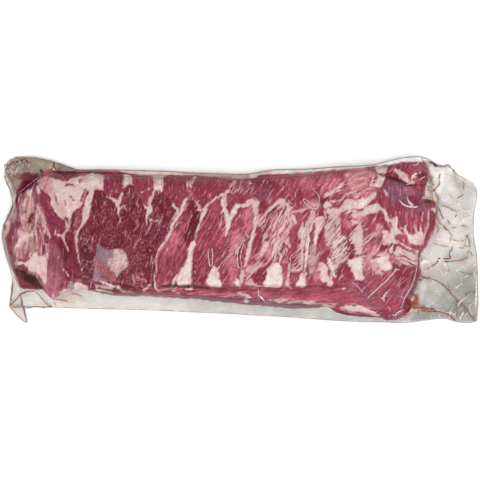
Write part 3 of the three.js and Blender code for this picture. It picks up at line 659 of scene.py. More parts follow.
class MeatCanvas:
    """Colours and relief of the rack's surface, painted at its vertices."""

    def __init__(self, x, y):
        self.x, self.y = x, y
        self.u = x + 0.45 * noise(x, y, 6.0, 11) + 0.3 * noise(x, y, 2.1, 12)
        self.v = y + 0.45 * noise(x, y, 6.0, 21) + 0.3 * noise(x, y, 2.1, 22)
        self.muscle = np.tile(paint("red"), (len(x), 1))
        self.fat_tone = np.tile(paint("fat"), (len(x), 1))
        self.fat = np.full(len(x), -9.0)
        self.relief = np.zeros(len(x))
        self.rough = fractal(x, y, 3.4, 31)
        self.streaky = np.full(len(x), BASE_STREAKS)
        self.marbled = np.zeros(len(x))
        self.angle = fibre_angles(x, y)

    def blend(self, layer, where, share, colour):
        layer[where] += share[:, None] * (colour - layer[where])

    def shaped(self, points, closed, reach):
        """The places near an outline or a line, and how deep each lies inside it."""
        curve = curve_through(points, closed)
        where = near(self.u, self.v, curve, reach)
        u, v = self.u[where], self.v[where]
        return where, depth_inside(u, v, curve) if closed else -distance_to(u, v, curve, False)

    def region(self, outline, colour, softness):
        where, depth = self.shaped(outline, True, softness)
        self.blend(self.muscle, where, smooth(-softness, softness, depth), paint(colour))

    def add_fat(self, points, closed, reach, ragged, colour):
        where, depth = self.shaped(points, closed, reach)
        depth = depth + ragged * self.rough[where]
        self.blend(self.fat_tone, where, smooth(-1.2, 0.2, depth), paint(colour))
        self.fat[where] = np.maximum(self.fat[where], depth)

    def fleck(self, points, colour):
        """Meat that shows through the fat."""
        where, depth = self.shaped(points, False, 4.0)
        self.blend(self.muscle, where, smooth(-0.6, 0.4, depth), paint(colour))
        self.fat[where] = np.minimum(self.fat[where], -depth)

    def over_fat(self, outline, colour, softness):
        """A patch that covers meat and fat alike."""
        where, depth = self.shaped(outline, True, softness)
        share = smooth(-softness, softness, depth) * np.clip(0.9 + 0.4 * self.rough[where], 0, 1)
        self.blend(self.muscle, where, share, paint(colour))
        self.blend(self.fat_tone, where, share, paint(colour))

    def streak_zone(self, angle, amount, colour, outline):
        where, depth = self.shaped(outline, True, 3.0)
        inside = smooth(-2.0, 2.0, depth)
        self.streaky[where] = np.maximum(self.streaky[where], amount * inside)
        self.blend(self.fat_tone, where, inside, paint(colour))
        self.angle[where] = np.where(inside > 0.5, angle, self.angle[where])

    def fold(self, depth_mm, darkness, points):
        where, depth = self.shaped(points, False, 6.0)
        share = darkness * smooth(-0.8, 0.3, depth)
        self.blend(self.muscle, where, share, paint("shadow"))
        self.blend(self.fat_tone, where, share, paint("shadow"))
        self.relief[where] -= depth_mm * smooth(-2.0, 0.6, depth)


def paint_top(x, y):
    """The meaty side, from places in millimetres."""
    canvas = MeatCanvas(x, y)
    for colour, softness, outline in MUSCLES:
        canvas.region(outline, colour, softness)
    canvas.marbled = smooth(-1, 2, depth_inside(canvas.u, canvas.v, curve_through(MARBLED_MUSCLE, True)))
    mottling = fractal(canvas.u, canvas.v, 12.0, 43)
    canvas.muscle += (0.3 * np.clip(-mottling, 0, 1))[:, None] * (paint("deep") - canvas.muscle)
    canvas.muscle += (0.2 * np.clip(mottling, 0, 1))[:, None] * (paint("pink") - canvas.muscle)
    for outline in SMOOTH_AREAS:
        canvas.streaky *= 1 - smooth(-2, 2, depth_inside(x, y, np.asarray(outline, float)))
    canvas.streaky *= 1 - 0.8 * canvas.marbled
    for angle, amount, colour, outline in STREAK_ZONES:
        canvas.streak_zone(angle, amount, colour, outline)
    for colour, outline in FAT_PATCHES:
        canvas.add_fat(outline, True, 2.0, 0.5, colour)
    for colour, points in strokes(FAT_SEAMS_AND_GLINTS):
        canvas.add_fat(points, False, 4.0, 0.6, colour)
    for colour, points in strokes(FLECKS):
        canvas.fleck(points, colour)
    for colour, softness, outline in OVERLAYS:
        canvas.over_fat(outline, colour, softness)
    for depth_mm, darkness, points in FOLDS:
        canvas.fold(depth_mm, darkness, np.reshape(points, (-1, 3)))
    return canvas


# The deep marbled muscle is the one with the longest outline
MARBLED_MUSCLE = max((outline for _, _, outline in MUSCLES), key=len)


def fibre_angles(x, y):
    """Direction of the fibres at each place, in degrees."""
    angles = np.full(x.shape, float(FIBRE_DEFAULT))
    for angle, outline in FIBRES:
        curve = curve_through(outline, True, 2)
        where = near(x, y, curve, 1.0)
        inside = depth_inside(x[where], y[where], curve) > 0
        angles[where] = np.where(inside, angle, angles[where])
    return angles


# The bone side: each rib shows as a pale ridge under the membrane
UNDER_RIB_WIDTH = 13.0
UNDER_RIB_PITCH = 27.0
UNDER_RIB_LEAN = 0.3
UNDER_RIB_START = -47.0


def paint_underside(x, y):
    canvas = MeatCanvas(x, y)
    u, v = canvas.u, canvas.v
    lean = UNDER_RIB_START + UNDER_RIB_LEAN * v + 4.0 * np.sin(v / 42.0)
    phase = (u - lean) / UNDER_RIB_PITCH
    off = np.abs(phase - np.round(phase)) * UNDER_RIB_PITCH
    bone = smooth(UNDER_RIB_WIDTH / 2 + 2.0, UNDER_RIB_WIDTH / 2 - 3.0, off)
    bone = bone * smooth(-48, -36, v) * smooth(60, 50, v) * smooth(-190, -176, u) * smooth(172, 160, u)
    canvas.muscle += (0.7 * bone)[:, None] * (paint("pink fat") - canvas.muscle)
    gristle = bone * smooth(-22, -34, v)
    canvas.muscle += (0.6 * gristle)[:, None] * (paint("white fat") - canvas.muscle)
    tone = 0.6 * streaks(u, v, 76, 12.0, 1.6, 141) + 0.6 * fractal(u, v, 12.0, 142)
    canvas.muscle += (0.3 * np.clip(tone, 0, 1))[:, None] * (paint("salmon") - canvas.muscle)
    canvas.muscle += (0.4 * np.clip(-tone, 0, 1) * (1 - bone))[:, None] * (paint("deep") - canvas.muscle)
    veil = smooth(0.1, 0.7, streaks(u, v, 6, 22.0, 3.0, 144) + 0.4 * fractal(u, v, 7.0, 145))
    canvas.fat = np.where(smooth(0.55, 0.8, fractal(u, v, 16.0, 147)) > 0.4, 0.6 * veil - 0.3, canvas.fat)
    canvas.relief = 1.1 * bone + 0.25 * tone
    canvas.angle[:] = 76
    return canvas


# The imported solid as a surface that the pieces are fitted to
def packed_solid():
    """The frame's node as one merged mesh."""
    merged = bmesh.new()
    merged.from_mesh(bpy.data.objects[NODE].data)
    bmesh.ops.remove_doubles(merged, verts=merged.verts, dist=1e-6)
    return merged


@functools.cache
def packed_surface():
    merged = packed_solid()
    tree = BVHTree.FromBMesh(merged)
    merged.free()
    return tree


def height_at(tree, x, y, from_above=True):
    """Height of a surface at a place in millimetres, NaN beside it."""
    start, way = (0.1, -1.0) if from_above else (-0.1, 1.0)
    hit = tree.ray_cast(Vector((x * MM, y * MM, start)), Vector((0, 0, way)))[0]
    return np.nan if hit is None else hit.z / MM


def surface_height(x, y, from_above=True):
    """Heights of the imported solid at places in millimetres, NaN beside it."""
    return np.array([height_at(packed_surface(), px, py, from_above) for px, py in zip(x, y)])


@functools.cache
def rack_outline():
    """The rack's outline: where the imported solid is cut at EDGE_HEIGHT, anticlockwise."""
    cut = packed_solid()
    made = bmesh.ops.bisect_plane(cut, geom=cut.verts[:] + cut.edges[:] + cut.faces[:], dist=1e-7,
                                  plane_co=(0, 0, EDGE_HEIGHT * MM), plane_no=(0, 0, 1))["geom_cut"]
    edges = {e for e in made if isinstance(e, bmesh.types.BMEdge)}
    loops = []
    while edges:
        edge = edges.pop()
        first, at = edge.verts
        loop = [first, at]
        while True:
            step = next((e for e in at.link_edges if e in edges), None)
            if step is None:
                break
            edges.discard(step)
            at = step.other_vert(at)
            loop.append(at)
        loops.append(np.array([(v.co.x / MM, v.co.y / MM) for v in loop]))
    cut.free()
    outline = max(loops, key=len)
    if np.hypot(*(outline[0] - outline[-1])) < 1e-6:
        outline = outline[:-1]
    area = np.sum(outline[:, 0] * np.roll(outline[:, 1], -1) - np.roll(outline[:, 0], -1) * outline[:, 1])
    return outline if area > 0 else outline[::-1]


def inward(points):
    """Unit steps from places on the outline towards the rack's middle line."""
    middle = np.stack([np.clip(points[:, 0], *SPINE_ENDS), np.full(len(points), SPINE_Y)], 1)
    step = middle - points
    return step / np.hypot(step[:, 0], step[:, 1])[:, None]


def resample(line, shares):
    """Places at the given shares of a line's length."""
    lengths = np.hypot(*np.diff(line, axis=0).T)
    at = np.concatenate([[0], np.cumsum(lengths)])
    at /= at[-1]
    return np.stack([np.interp(shares, at, line[:, k]) for k in range(line.shape[1])], 1)


def even(count, tightening):
    """Shares from 0 to 1, closer together near both ends."""
    t = np.arange(count + 1) / count
    return t - tightening * np.sin(2 * np.pi * t) / (2 * np.pi)


def patch_sides(outline, columns, rows, tightening):
    """The outline split at its four corners: front, right, back and left, each in the patch's direction."""
    at = [int(np.argmin(np.hypot(*(outline - corner).T))) for corner in PATCH_CORNERS]
    sides = []
    for k, count in enumerate((columns, rows, columns, rows)):
        start, stop = at[k], at[(k + 1) % 4]
        run = np.arange(start, stop + 1 if stop > start else stop + len(outline) + 1) % len(outline)
        sides.append(resample(outline[run], even(count, tightening)))
    front, right, back, left = sides
    return front, right, back[::-1], left[::-1]


def blended_patch(sides, columns, rows, tightening):
    """A grid of places blended from four sides, rows by columns."""
    front, right, back, left = sides
    u = even(columns, tightening)[None, :, None]
    v = even(rows, tightening)[:, None, None]
    ruled = (1 - v) * front[None] + v * back[None] + (1 - u) * left[:, None] + u * right[:, None]
    corners = (1 - v) * ((1 - u) * front[0] + u * front[-1]) + v * ((1 - u) * back[0] + u * back[-1])
    return ruled - corners


def ring_of(sides):
    front, right, back, left = sides
    return np.vstack([front[:-1], right[:-1], back[::-1][:-1], left[::-1][:-1]])


def ring_indices(grid):
    """The grid's border as one anticlockwise ring of indices."""
    return np.concatenate([grid[0, :-1], grid[:-1, -1], grid[-1, :0:-1], grid[:0:-1, 0]])


def beside(values, axis):
    """A grid's values before and after each place, repeated at both ends."""
    padded = np.concatenate([values.take([0], axis), values, values.take([-1], axis)], axis)
    count = padded.shape[axis]
    return padded.take(range(0, count - 2), axis), padded.take(range(2, count), axis)


def blurred(values, times):
    """A grid of values softened by its neighbours."""
    for axis in (0, 1) * times:
        before, after = beside(values, axis)
        values = 0.5 * values + 0.25 * (before + after)
    return values


def widened(values):
    """Each value raised to the highest of its neighbours."""
    for axis in (0, 1):
        values = np.maximum(values, np.maximum(*beside(values, axis)))
    return values


class Shell:
    """Vertices and faces of a piece, gathered in millimetres."""

    def __init__(self):
        self.points, self.faces, self.count = [], [], 0

    def add(self, points):
        points = np.asarray(points, float).reshape(-1, 3)
        self.points.append(points)
        self.count += len(points)
        return np.arange(self.count - len(points), self.count)

    def grid_faces(self, grid, turned=False):
        a, b, c, d = grid[:-1, :-1], grid[:-1, 1:], grid[1:, 1:], grid[1:, :-1]
        quads = np.stack([a, b, c, d] if not turned else [a, d, c, b], -1).reshape(-1, 4)
        self.faces += quads.tolist()

    def join_rings(self, inner, outer):
        """Quads between two rings of equal count, the second lower or wider where they face up."""
        quads = np.stack([inner, outer, np.roll(outer, -1), np.roll(inner, -1)], -1)
        self.faces += quads.tolist()

    def join_halved(self, full, half):
        """Faces between a ring and one with every second of its places."""
        for k in range(len(half)):
            a, b, c = full[2 * k], full[2 * k + 1], full[(2 * k + 2) % len(full)]
            d, e = half[k], half[(k + 1) % len(half)]
            self.faces += [[d, a, b], [d, b, e], [e, b, c]]

    def mesh_object(self, name):
        mesh = bpy.data.meshes.new(name)
        mesh.from_pydata((np.vstack(self.points) * MM).tolist(), [], self.faces)
        mesh.update()
        piece = bpy.data.objects.new(name, mesh)
        bpy.context.collection.objects.link(piece)
        for polygon in mesh.polygons:
            polygon.use_smooth = True
        return piece


def deselect_all():
    for other in bpy.context.selected_objects:
        other.select_set(False)


def dress(piece, material):
    """Gives a finished piece its material and its place in the frame."""
    piece.data.materials.clear()
    piece.data.materials.append(material)
    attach(piece, BODY)
    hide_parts(NODE)


ATTRIBUTE_FIELDS = {"FLOAT": "value", "FLOAT_COLOR": "color", "FLOAT_VECTOR": "vector"}


def store(piece, kind="FLOAT", **layers):
    """Keeps values at a piece's vertices, one attribute for each name."""
    for name, values in layers.items():
        if kind == "FLOAT_COLOR":
            values = np.hstack([np.clip(values, 0, 1), np.ones((len(values), 1))])
        layer = piece.data.attributes.new(name, kind, "POINT")
        layer.data.foreach_set(ATTRIBUTE_FIELDS[kind], np.asarray(values, np.float32).ravel())


# Heights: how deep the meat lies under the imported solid's skin, and how far the film lies above the meat
MEAT_DEPTH = 0.5
FILM_CLEARANCE = 0.35


def meat_height(x, y, grid_shape):
    """Height of the meat on a grid, without its relief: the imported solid, smoothed, less the film."""
    return blurred(surface_height(x, y).reshape(grid_shape), 2).ravel() - MEAT_DEPTH


def spread(x, y, height):
    """Where the camera sees places that lie above the floor."""
    share = CAMERA_HEIGHT / (CAMERA_HEIGHT - height * MM)
    return x * share - PICTURE_SHIFT[0], y * share - PICTURE_SHIFT[1]


# How far fat stands up from the muscle, in millimetres
FAT_RISE = 0.25


def top_relief(canvas):
    return canvas.relief + FAT_RISE * smooth(-0.8, 0.8, canvas.fat)


def build_rack(settings):
    """The rack: a fine painted grid on top, rounded sides, and a coarser bone side."""
    outline = rack_outline()
    edge = outline + RACK_INSET * inward(outline)
    sides = patch_sides(edge, RACK_COLUMNS, RACK_ROWS, 0.0)
    places = blended_patch(sides, RACK_COLUMNS, RACK_ROWS, 0.0)
    shape = places.shape[:2]
    x, y = places[..., 0].ravel(), places[..., 1].ravel()
    base = meat_height(x, y, shape)
    top = paint_top(*spread(x, y, base))
    heights = base + top_relief(top) * settings.relief
    shell = Shell()
    grid = shell.add(np.stack([x, y, heights], 1)).reshape(shape)
    shell.grid_faces(grid)

    ring = ring_indices(grid)
    rim = ring_of(sides)
    towards = inward(rim)
    rim_heights = heights[ring]
    levels = []
    for inset, level in SIDE_STEPS:
        lower = np.minimum(level, rim_heights - 0.2)
        levels.append(np.column_stack([rim + inset * towards, lower]))
    for inset in FOOT_STEPS:
        places = rim + inset * towards
        lower = surface_height(places[:, 0], places[:, 1], False) + 0.45
        levels.append(np.column_stack([places, lower]))
    for level in levels:
        lower_ring = shell.add(level)
        shell.join_rings(ring, lower_ring)
        ring = lower_ring

    half_columns, half_rows = RACK_COLUMNS // 2, RACK_ROWS // 2
    foot = rim[::2] + UNDERSIDE_INSET * towards[::2]
    foot_sides = (foot[: half_columns + 1], foot[half_columns: half_columns + half_rows + 1],
                  foot[half_columns + half_rows: 2 * half_columns + half_rows + 1][::-1],
                  np.vstack([foot[2 * half_columns + half_rows:], foot[:1]])[::-1])
    under = blended_patch(foot_sides, half_columns, half_rows, 0.0)
    ux, uy = under[..., 0].ravel(), under[..., 1].ravel()
    bottom = paint_underside(ux, uy)
    away = smooth(0, 0.06, np.minimum.reduce([
        *np.meshgrid(np.linspace(0, 1, half_columns + 1), np.linspace(0, 1, half_rows + 1)),
        *np.meshgrid(np.linspace(1, 0, half_columns + 1), np.linspace(1, 0, half_rows + 1))])).ravel()
    under_heights = np.maximum(surface_height(ux, uy, False), 0) + 0.4
    under_heights += away * np.clip(1.5 - bottom.relief, 0.0, 3.0)
    under_grid = shell.add(np.column_stack([ux, uy, under_heights])).reshape(under.shape[:2])
    shell.grid_faces(under_grid, turned=True)
    shell.join_halved(ring, ring_indices(under_grid))

    piece = shell.mesh_object("rack_of_ribs")
    side = np.vstack(levels)
    flank = paint_top(*spread(*side.T))
    parts = (top, flank, bottom)

    def joined(name):
        return np.concatenate([getattr(part, name) for part in parts])

    store(piece, "FLOAT_COLOR", muscle=joined("muscle"), fat_tone=joined("fat_tone"))
    store(piece, fat=np.clip(joined("fat"), -4, 4), streaky=joined("streaky"), marbled=joined("marbled"))
    store(piece, "FLOAT_VECTOR", fibre=np.vstack([fibre_places(part) for part in parts]) * MM)
    return piece


def fibre_places(canvas):
    """Places measured along and across the fibres."""
    turn = np.radians(canvas.angle)
    along = canvas.x * np.cos(turn) + canvas.y * np.sin(turn)
    across = canvas.y * np.cos(turn) - canvas.x * np.sin(turn)
    return np.column_stack([along, across, np.zeros(len(turn))])


# Node helpers
class Nodes:
    """Adds nodes to a material and joins them by socket."""

    def __init__(self, name):
        self.material = bpy.data.materials.new(name)
        self.material.use_nodes = True
        self.tree = self.material.node_tree
        self.tree.nodes.clear()

    def add(self, kind, inputs=None, **settings):
        node = self.tree.nodes.new(kind)
        for key, value in settings.items():
            setattr(node, key, value)
        for key, value in (inputs or {}).items():
            if isinstance(value, bpy.types.NodeSocket):
                self.tree.links.new(value, node.inputs[key])
            else:
                node.inputs[key].default_value = value
        return node

    def place(self):
        return self.add("ShaderNodeTexCoord").outputs["Object"]

    def attribute(self, name, output="Fac"):
        return self.add("ShaderNodeAttribute", attribute_name=name).outputs[output]

    def math(self, operation, *values):
        return self.add("ShaderNodeMath", dict(enumerate(values)), operation=operation).outputs[0]

    def times(self, first, second):
        return self.math("MULTIPLY", first, second)

    def vector_math(self, operation, inputs):
        return self.add("ShaderNodeVectorMath", inputs, operation=operation).outputs[0]

    def mean(self, *values):
        total = values[0]
        for value in values[1:]:
            total = self.math("ADD", total, value)
        return self.math("DIVIDE", total, float(len(values)))

    def colour(self, name):
        return (*paint(name), 1.0)

    def mapped(self, value, low, high, to_low=0.0, to_high=1.0):
        inputs = {"Value": value, "From Min": low, "From Max": high, "To Min": to_low, "To Max": to_high}
        return self.add("ShaderNodeMapRange", inputs, interpolation_type="SMOOTHSTEP").outputs["Result"]

    def mixed(self, share, first, second, blend_type="MIX"):
        inputs = {0: share, 6: first, 7: second}
        return self.add("ShaderNodeMix", inputs, data_type="RGBA", blend_type=blend_type).outputs[2]

    def noise(self, scale, detail=2.0, roughness=0.5, vector=None, stretch=None):
        if vector is None:
            vector = self.place()
        if stretch is not None:
            vector = self.add("ShaderNodeMapping", {"Vector": vector, "Scale": stretch}).outputs[0]
        inputs = {"Vector": vector, "Scale": scale, "Detail": detail, "Roughness": roughness}
        return self.add("ShaderNodeTexNoise", inputs).outputs["Fac"]

    def wander(self, scale):
        """Soft noise as a step in any direction."""
        inputs = {"Vector": self.place(), "Scale": scale, "Detail": 2.0}
        return self.add("ShaderNodeTexNoise", inputs).outputs["Color"]

    def bump(self, height, strength, distance):
        inputs = {"Height": height, "Strength": strength, "Distance": distance}
        return self.add("ShaderNodeBump", inputs).outputs[0]

    def shader(self, colour, roughness, specular, **more):
        inputs = {"Base Color": colour, "Roughness": roughness, "Specular IOR Level": specular, **more}
        return self.add("ShaderNodeBsdfPrincipled", inputs).outputs[0]

    def mixed_shader(self, share, first, second):
        return self.add("ShaderNodeMixShader", {0: share, 1: first, 2: second}).outputs[0]

    def finish(self, surface):
        self.add("ShaderNodeOutputMaterial", {"Surface": surface})
        return self.material


def meat_material():
    """Raw pork: fine pale strands along the muscle, ragged seams of fat, moist all over."""
    nodes = Nodes("raw_pork")
    wander = nodes.vector_math("SUBTRACT", {0: nodes.wander(220.0), 1: (0.5, 0.5, 0.5)})
    wander = nodes.vector_math("SCALE", {0: wander, 3: 0.0022})
    fibre = nodes.vector_math("ADD", {0: nodes.attribute("fibre", "Vector"), 1: wander})
    fine = nodes.noise(1.0, 2.0, 0.55, fibre, (120, 900, 1))
    coarse = nodes.noise(1.0, 2.0, 0.5, fibre, (55, 400, 1))
    strands = nodes.mapped(nodes.mean(fine, coarse), 0.34, 0.66)
    grain = nodes.noise(900.0, 3.0, 0.6)
    cells = nodes.noise(330.0, 2.0, 0.5)
    lumps = nodes.noise(120.0, 2.0, 0.5)

    rim = nodes.math("SUBTRACT", nodes.mean(grain, cells, strands), 0.5)
    edge = nodes.math("ADD", nodes.attribute("fat"), nodes.times(rim, 4.2))
    fat = nodes.mapped(edge, -0.8, 0.9)

    level = nodes.math("SUBTRACT", 1.0, nodes.attribute("streaky"))
    over = nodes.math("SUBTRACT", strands, level)
    pale = nodes.mapped(over, -0.14, 0.14, 0.0, 0.82)

    marbled = nodes.attribute("marbled")
    crossing = nodes.noise(1.0, 1.0, 0.5, None, (520, 760, 1))
    fleck_noise = nodes.noise(1.0, 1.0, 0.5, fibre, (330, 900, 1))
    fleck_noise = nodes.math("MAXIMUM", fleck_noise, nodes.math("SUBTRACT", crossing, 0.03))
    gate = nodes.mapped(lumps, 0.38, 0.56)
    flecks = nodes.times(nodes.mapped(fleck_noise, 0.54, 0.68), gate)
    flecks = nodes.times(flecks, marbled)
    mottles = nodes.times(nodes.mapped(cells, 0.48, 0.66), nodes.times(marbled, 0.55))

    strand_shade = nodes.mapped(nodes.mean(fine, coarse), 0.36, 0.64, 0.72, 1.30)
    grain_shade = nodes.mapped(nodes.mean(grain, cells), 0.36, 0.64, 0.72, 1.30)
    muscle = nodes.mixed(1.0, nodes.attribute("muscle", "Color"), strand_shade, "MULTIPLY")
    muscle = nodes.mixed(1.0, muscle, grain_shade, "MULTIPLY")
    muscle = nodes.mixed(mottles, muscle, nodes.colour("deep dark"))
    speckle = nodes.times(nodes.mapped(nodes.mean(grain, fine), 0.5, 0.62), marbled)
    muscle = nodes.mixed(nodes.times(speckle, 0.55), muscle, nodes.colour("grain"))
    muscle = nodes.mixed(nodes.times(flecks, 0.75), muscle, nodes.colour("fleck"))
    muscle = nodes.mixed(pale, muscle, nodes.attribute("fat_tone", "Color"))

    tone = nodes.mapped(nodes.mean(cells, grain, fine), 0.40, 0.60, 0.80, 1.10)
    fat_tone = nodes.mixed(1.0, nodes.attribute("fat_tone", "Color"), tone, "MULTIPLY")
    fat_tone = nodes.mixed(nodes.mapped(lumps, 0.48, 0.70, 0.0, 0.45), fat_tone, nodes.colour("pink fat"))
    blush = nodes.mapped(nodes.noise(60.0, 3.0, 0.6), 0.5, 0.68, 0.0, 0.4)
    fat_tone = nodes.mixed(blush, fat_tone, nodes.colour("salmon"))
    fat_tone = nodes.mixed(nodes.mapped(edge, 0.0, 2.4, 0.6, 0.0), fat_tone, nodes.colour("pink fat"))
    colour = nodes.mixed(fat, muscle, fat_tone)

    height = nodes.math("ADD", nodes.times(strands, 0.7), nodes.times(cells, 0.7))
    normal = nodes.bump(height, 0.55, 0.0005)
    roughness = nodes.mapped(grain, 0.3, 0.7, 0.36, 0.52)
    return nodes.finish(nodes.shader(colour, roughness, 0.12, Normal=normal))


# The bag
def on_bag(x, y):
    """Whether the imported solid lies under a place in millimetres, its tail left out."""
    return not (in_tail(x, y) or np.isnan(height_at(packed_surface(), x, y)))


def rim_reach(points, out):
    """How far the bag's margin reaches beyond each place of the outline, in millimetres."""
    reach = np.zeros(len(points))
    for i, (place, way) in enumerate(zip(points, out)):
        low = 0.0
        while low < WIDEST_MARGIN and on_bag(*(place + (low + 1.0) * way)):
            low += 1.0
        high = low + 1.0
        for _ in range(8):
            middle = 0.5 * (low + high)
            if on_bag(*(place + middle * way)):
                low = middle
            else:
                high = middle
        reach[i] = low
    return reach


def in_tail(x, y):
    """Whether a place lies in the pointed tail, which is a piece of its own."""
    return x < TAIL_START[0] and y < TAIL_START[1]


def facets(x, y, size, seed):
    """Flat facets that meet in sharp creases, from -1 to 1."""
    turn = 0.5 + 0.9 * seed
    bent_x = x + 0.3 * size * noise(x, y, 1.7 * size, seed + 1)
    bent_y = y + 0.3 * size * noise(x, y, 1.7 * size, seed + 2)
    u = (bent_x * math.cos(turn) - bent_y * math.sin(turn)) / size
    v = (bent_x * math.sin(turn) + bent_y * math.cos(turn)) / size
    iu, iv = np.floor(u), np.floor(v)
    fu, fv = u - iu, v - iv
    near_corner = fu + fv < 1
    a, b = lattice(iu + 1, iv, seed), lattice(iu, iv + 1, seed)
    c = np.where(near_corner, lattice(iu, iv, seed), lattice(iu + 1, iv + 1, seed))
    share_a = np.where(near_corner, fu, 1 - fv)
    share_b = np.where(near_corner, fv, 1 - fu)
    return share_a * a + share_b * b + (1 - share_a - share_b) * c


def wide_margin(x, y):
    """1 in the wide parts of the margin: at the right and in the back left corner."""
    return np.maximum(smooth(150, 190, x), smooth(-150, -190, x) * smooth(50, 64, y))


def crumple_facets(x, y, large, middling, small):
    """Facets of three sizes, each in its own strength."""
    sizes = ((large, 17.0, 201), (middling, 8.0, 204), (small, 3.6, 207))
    return sum(strength * facets(x, y, size, seed) for strength, size, seed in sizes)


def crumple(x, y):
    """Height of the margin's crumples, in millimetres."""
    deep = 0.25 + 0.75 * wide_margin(x, y)
    return deep * crumple_facets(x, y, 1.1, 0.7, 0.3)


def build_film(settings):
    """The clear bag: film drawn over the rack, two plies pressed together at the margin."""
    outline = rack_outline()
    sides = patch_sides(outline, FILM_COLUMNS, FILM_ROWS, FILM_EDGE_TIGHTENING)
    places = blended_patch(sides, FILM_COLUMNS, FILM_ROWS, FILM_EDGE_TIGHTENING)
    shape = places.shape[:2]
    x, y = places[..., 0].ravel(), places[..., 1].ravel()
    base = meat_height(x, y, shape)
    rack = (base + top_relief(paint_top(*spread(x, y, base)))).reshape(shape)
    tight = np.maximum(blurred(widened(rack), 2), rack) + FILM_CLEARANCE
    shell = Shell()
    top = shell.add(np.column_stack([x, y, tight.ravel()])).reshape(shape)
    shell.grid_faces(top)

    rim = ring_of(sides)
    out = -inward(rim)
    reach = rim_reach(rim, out)
    shares = np.concatenate([[0.0], (np.arange(1, MARGIN_RINGS + 1) / MARGIN_RINGS) ** 1.35])
    band = np.minimum(EDGE_BAND, 0.5 * reach)
    distances = [np.maximum(share * (reach - band), 0.02 * k) for k, share in enumerate(shares)]
    distances += [distances[-1] + 0.5 * band, distances[-1] + band]
    at_edge = [np.full(len(rim), float(k > MARGIN_RINGS)) for k in range(len(distances))]
    upper, lower = [ring_indices(top)], []
    for k, distance in enumerate(distances):
        at = rim + distance[:, None] * out
        height = surface_height(*(at * JUST_INSIDE).T)
        height = np.where(np.isnan(height), RIM_HEIGHT, height)
        low_side = surface_height(*(at * JUST_INSIDE).T, False)
        low_side = np.where(np.isnan(low_side), height - RIM_THICKNESS, low_side)
        amount = smooth(1.0, 6.0, distance) * settings.crumple
        lift = np.maximum(crumple(at[:, 0], at[:, 1]) * amount, 0.4 - low_side)
        middle = 0.5 * (np.minimum(height, 8.0) + low_side) + lift
        opening = smooth(3.0, 0.0, distance)
        upper_z = middle + FILM_PLY_GAP / 2 + opening * (np.minimum(height, 9.4) - middle)
        lower_z = middle - FILM_PLY_GAP / 2 - opening * 0.6
        if k:
            upper.append(shell.add(np.column_stack([at, upper_z])))
        lower.append((at, np.maximum(lower_z, 0.15)))
    for inner, outer in zip(upper[:-1], upper[1:]):
        shell.join_rings(inner, outer)
    ring = upper[-1]
    for at, lower_z in reversed(lower):
        next_ring = shell.add(np.column_stack([at, lower_z]))
        shell.join_rings(ring, next_ring)
        ring = next_ring

    under = surface_height(x, y, False).reshape(shape)
    under = np.where(np.isnan(under), 3.0, under)
    under_z = np.maximum(blurred(under, 1), 0.0) + 0.08
    grid = np.full(shape, -1)
    inside = np.zeros(shape, bool)
    inside[1:-1, 1:-1] = True
    grid[inside] = shell.add(np.column_stack([places[inside], under_z[inside]]))
    first = ring_indices(np.arange(shape[0] * shape[1]).reshape(shape))
    grid.ravel()[first] = ring
    shell.grid_faces(grid, turned=True)
    piece = shell.mesh_object("clear_bag")
    edge = [np.zeros(top.size), *at_edge[1:], *at_edge[::-1], np.zeros(inside.sum())]
    paint_film(piece, np.concatenate(edge))
    return piece
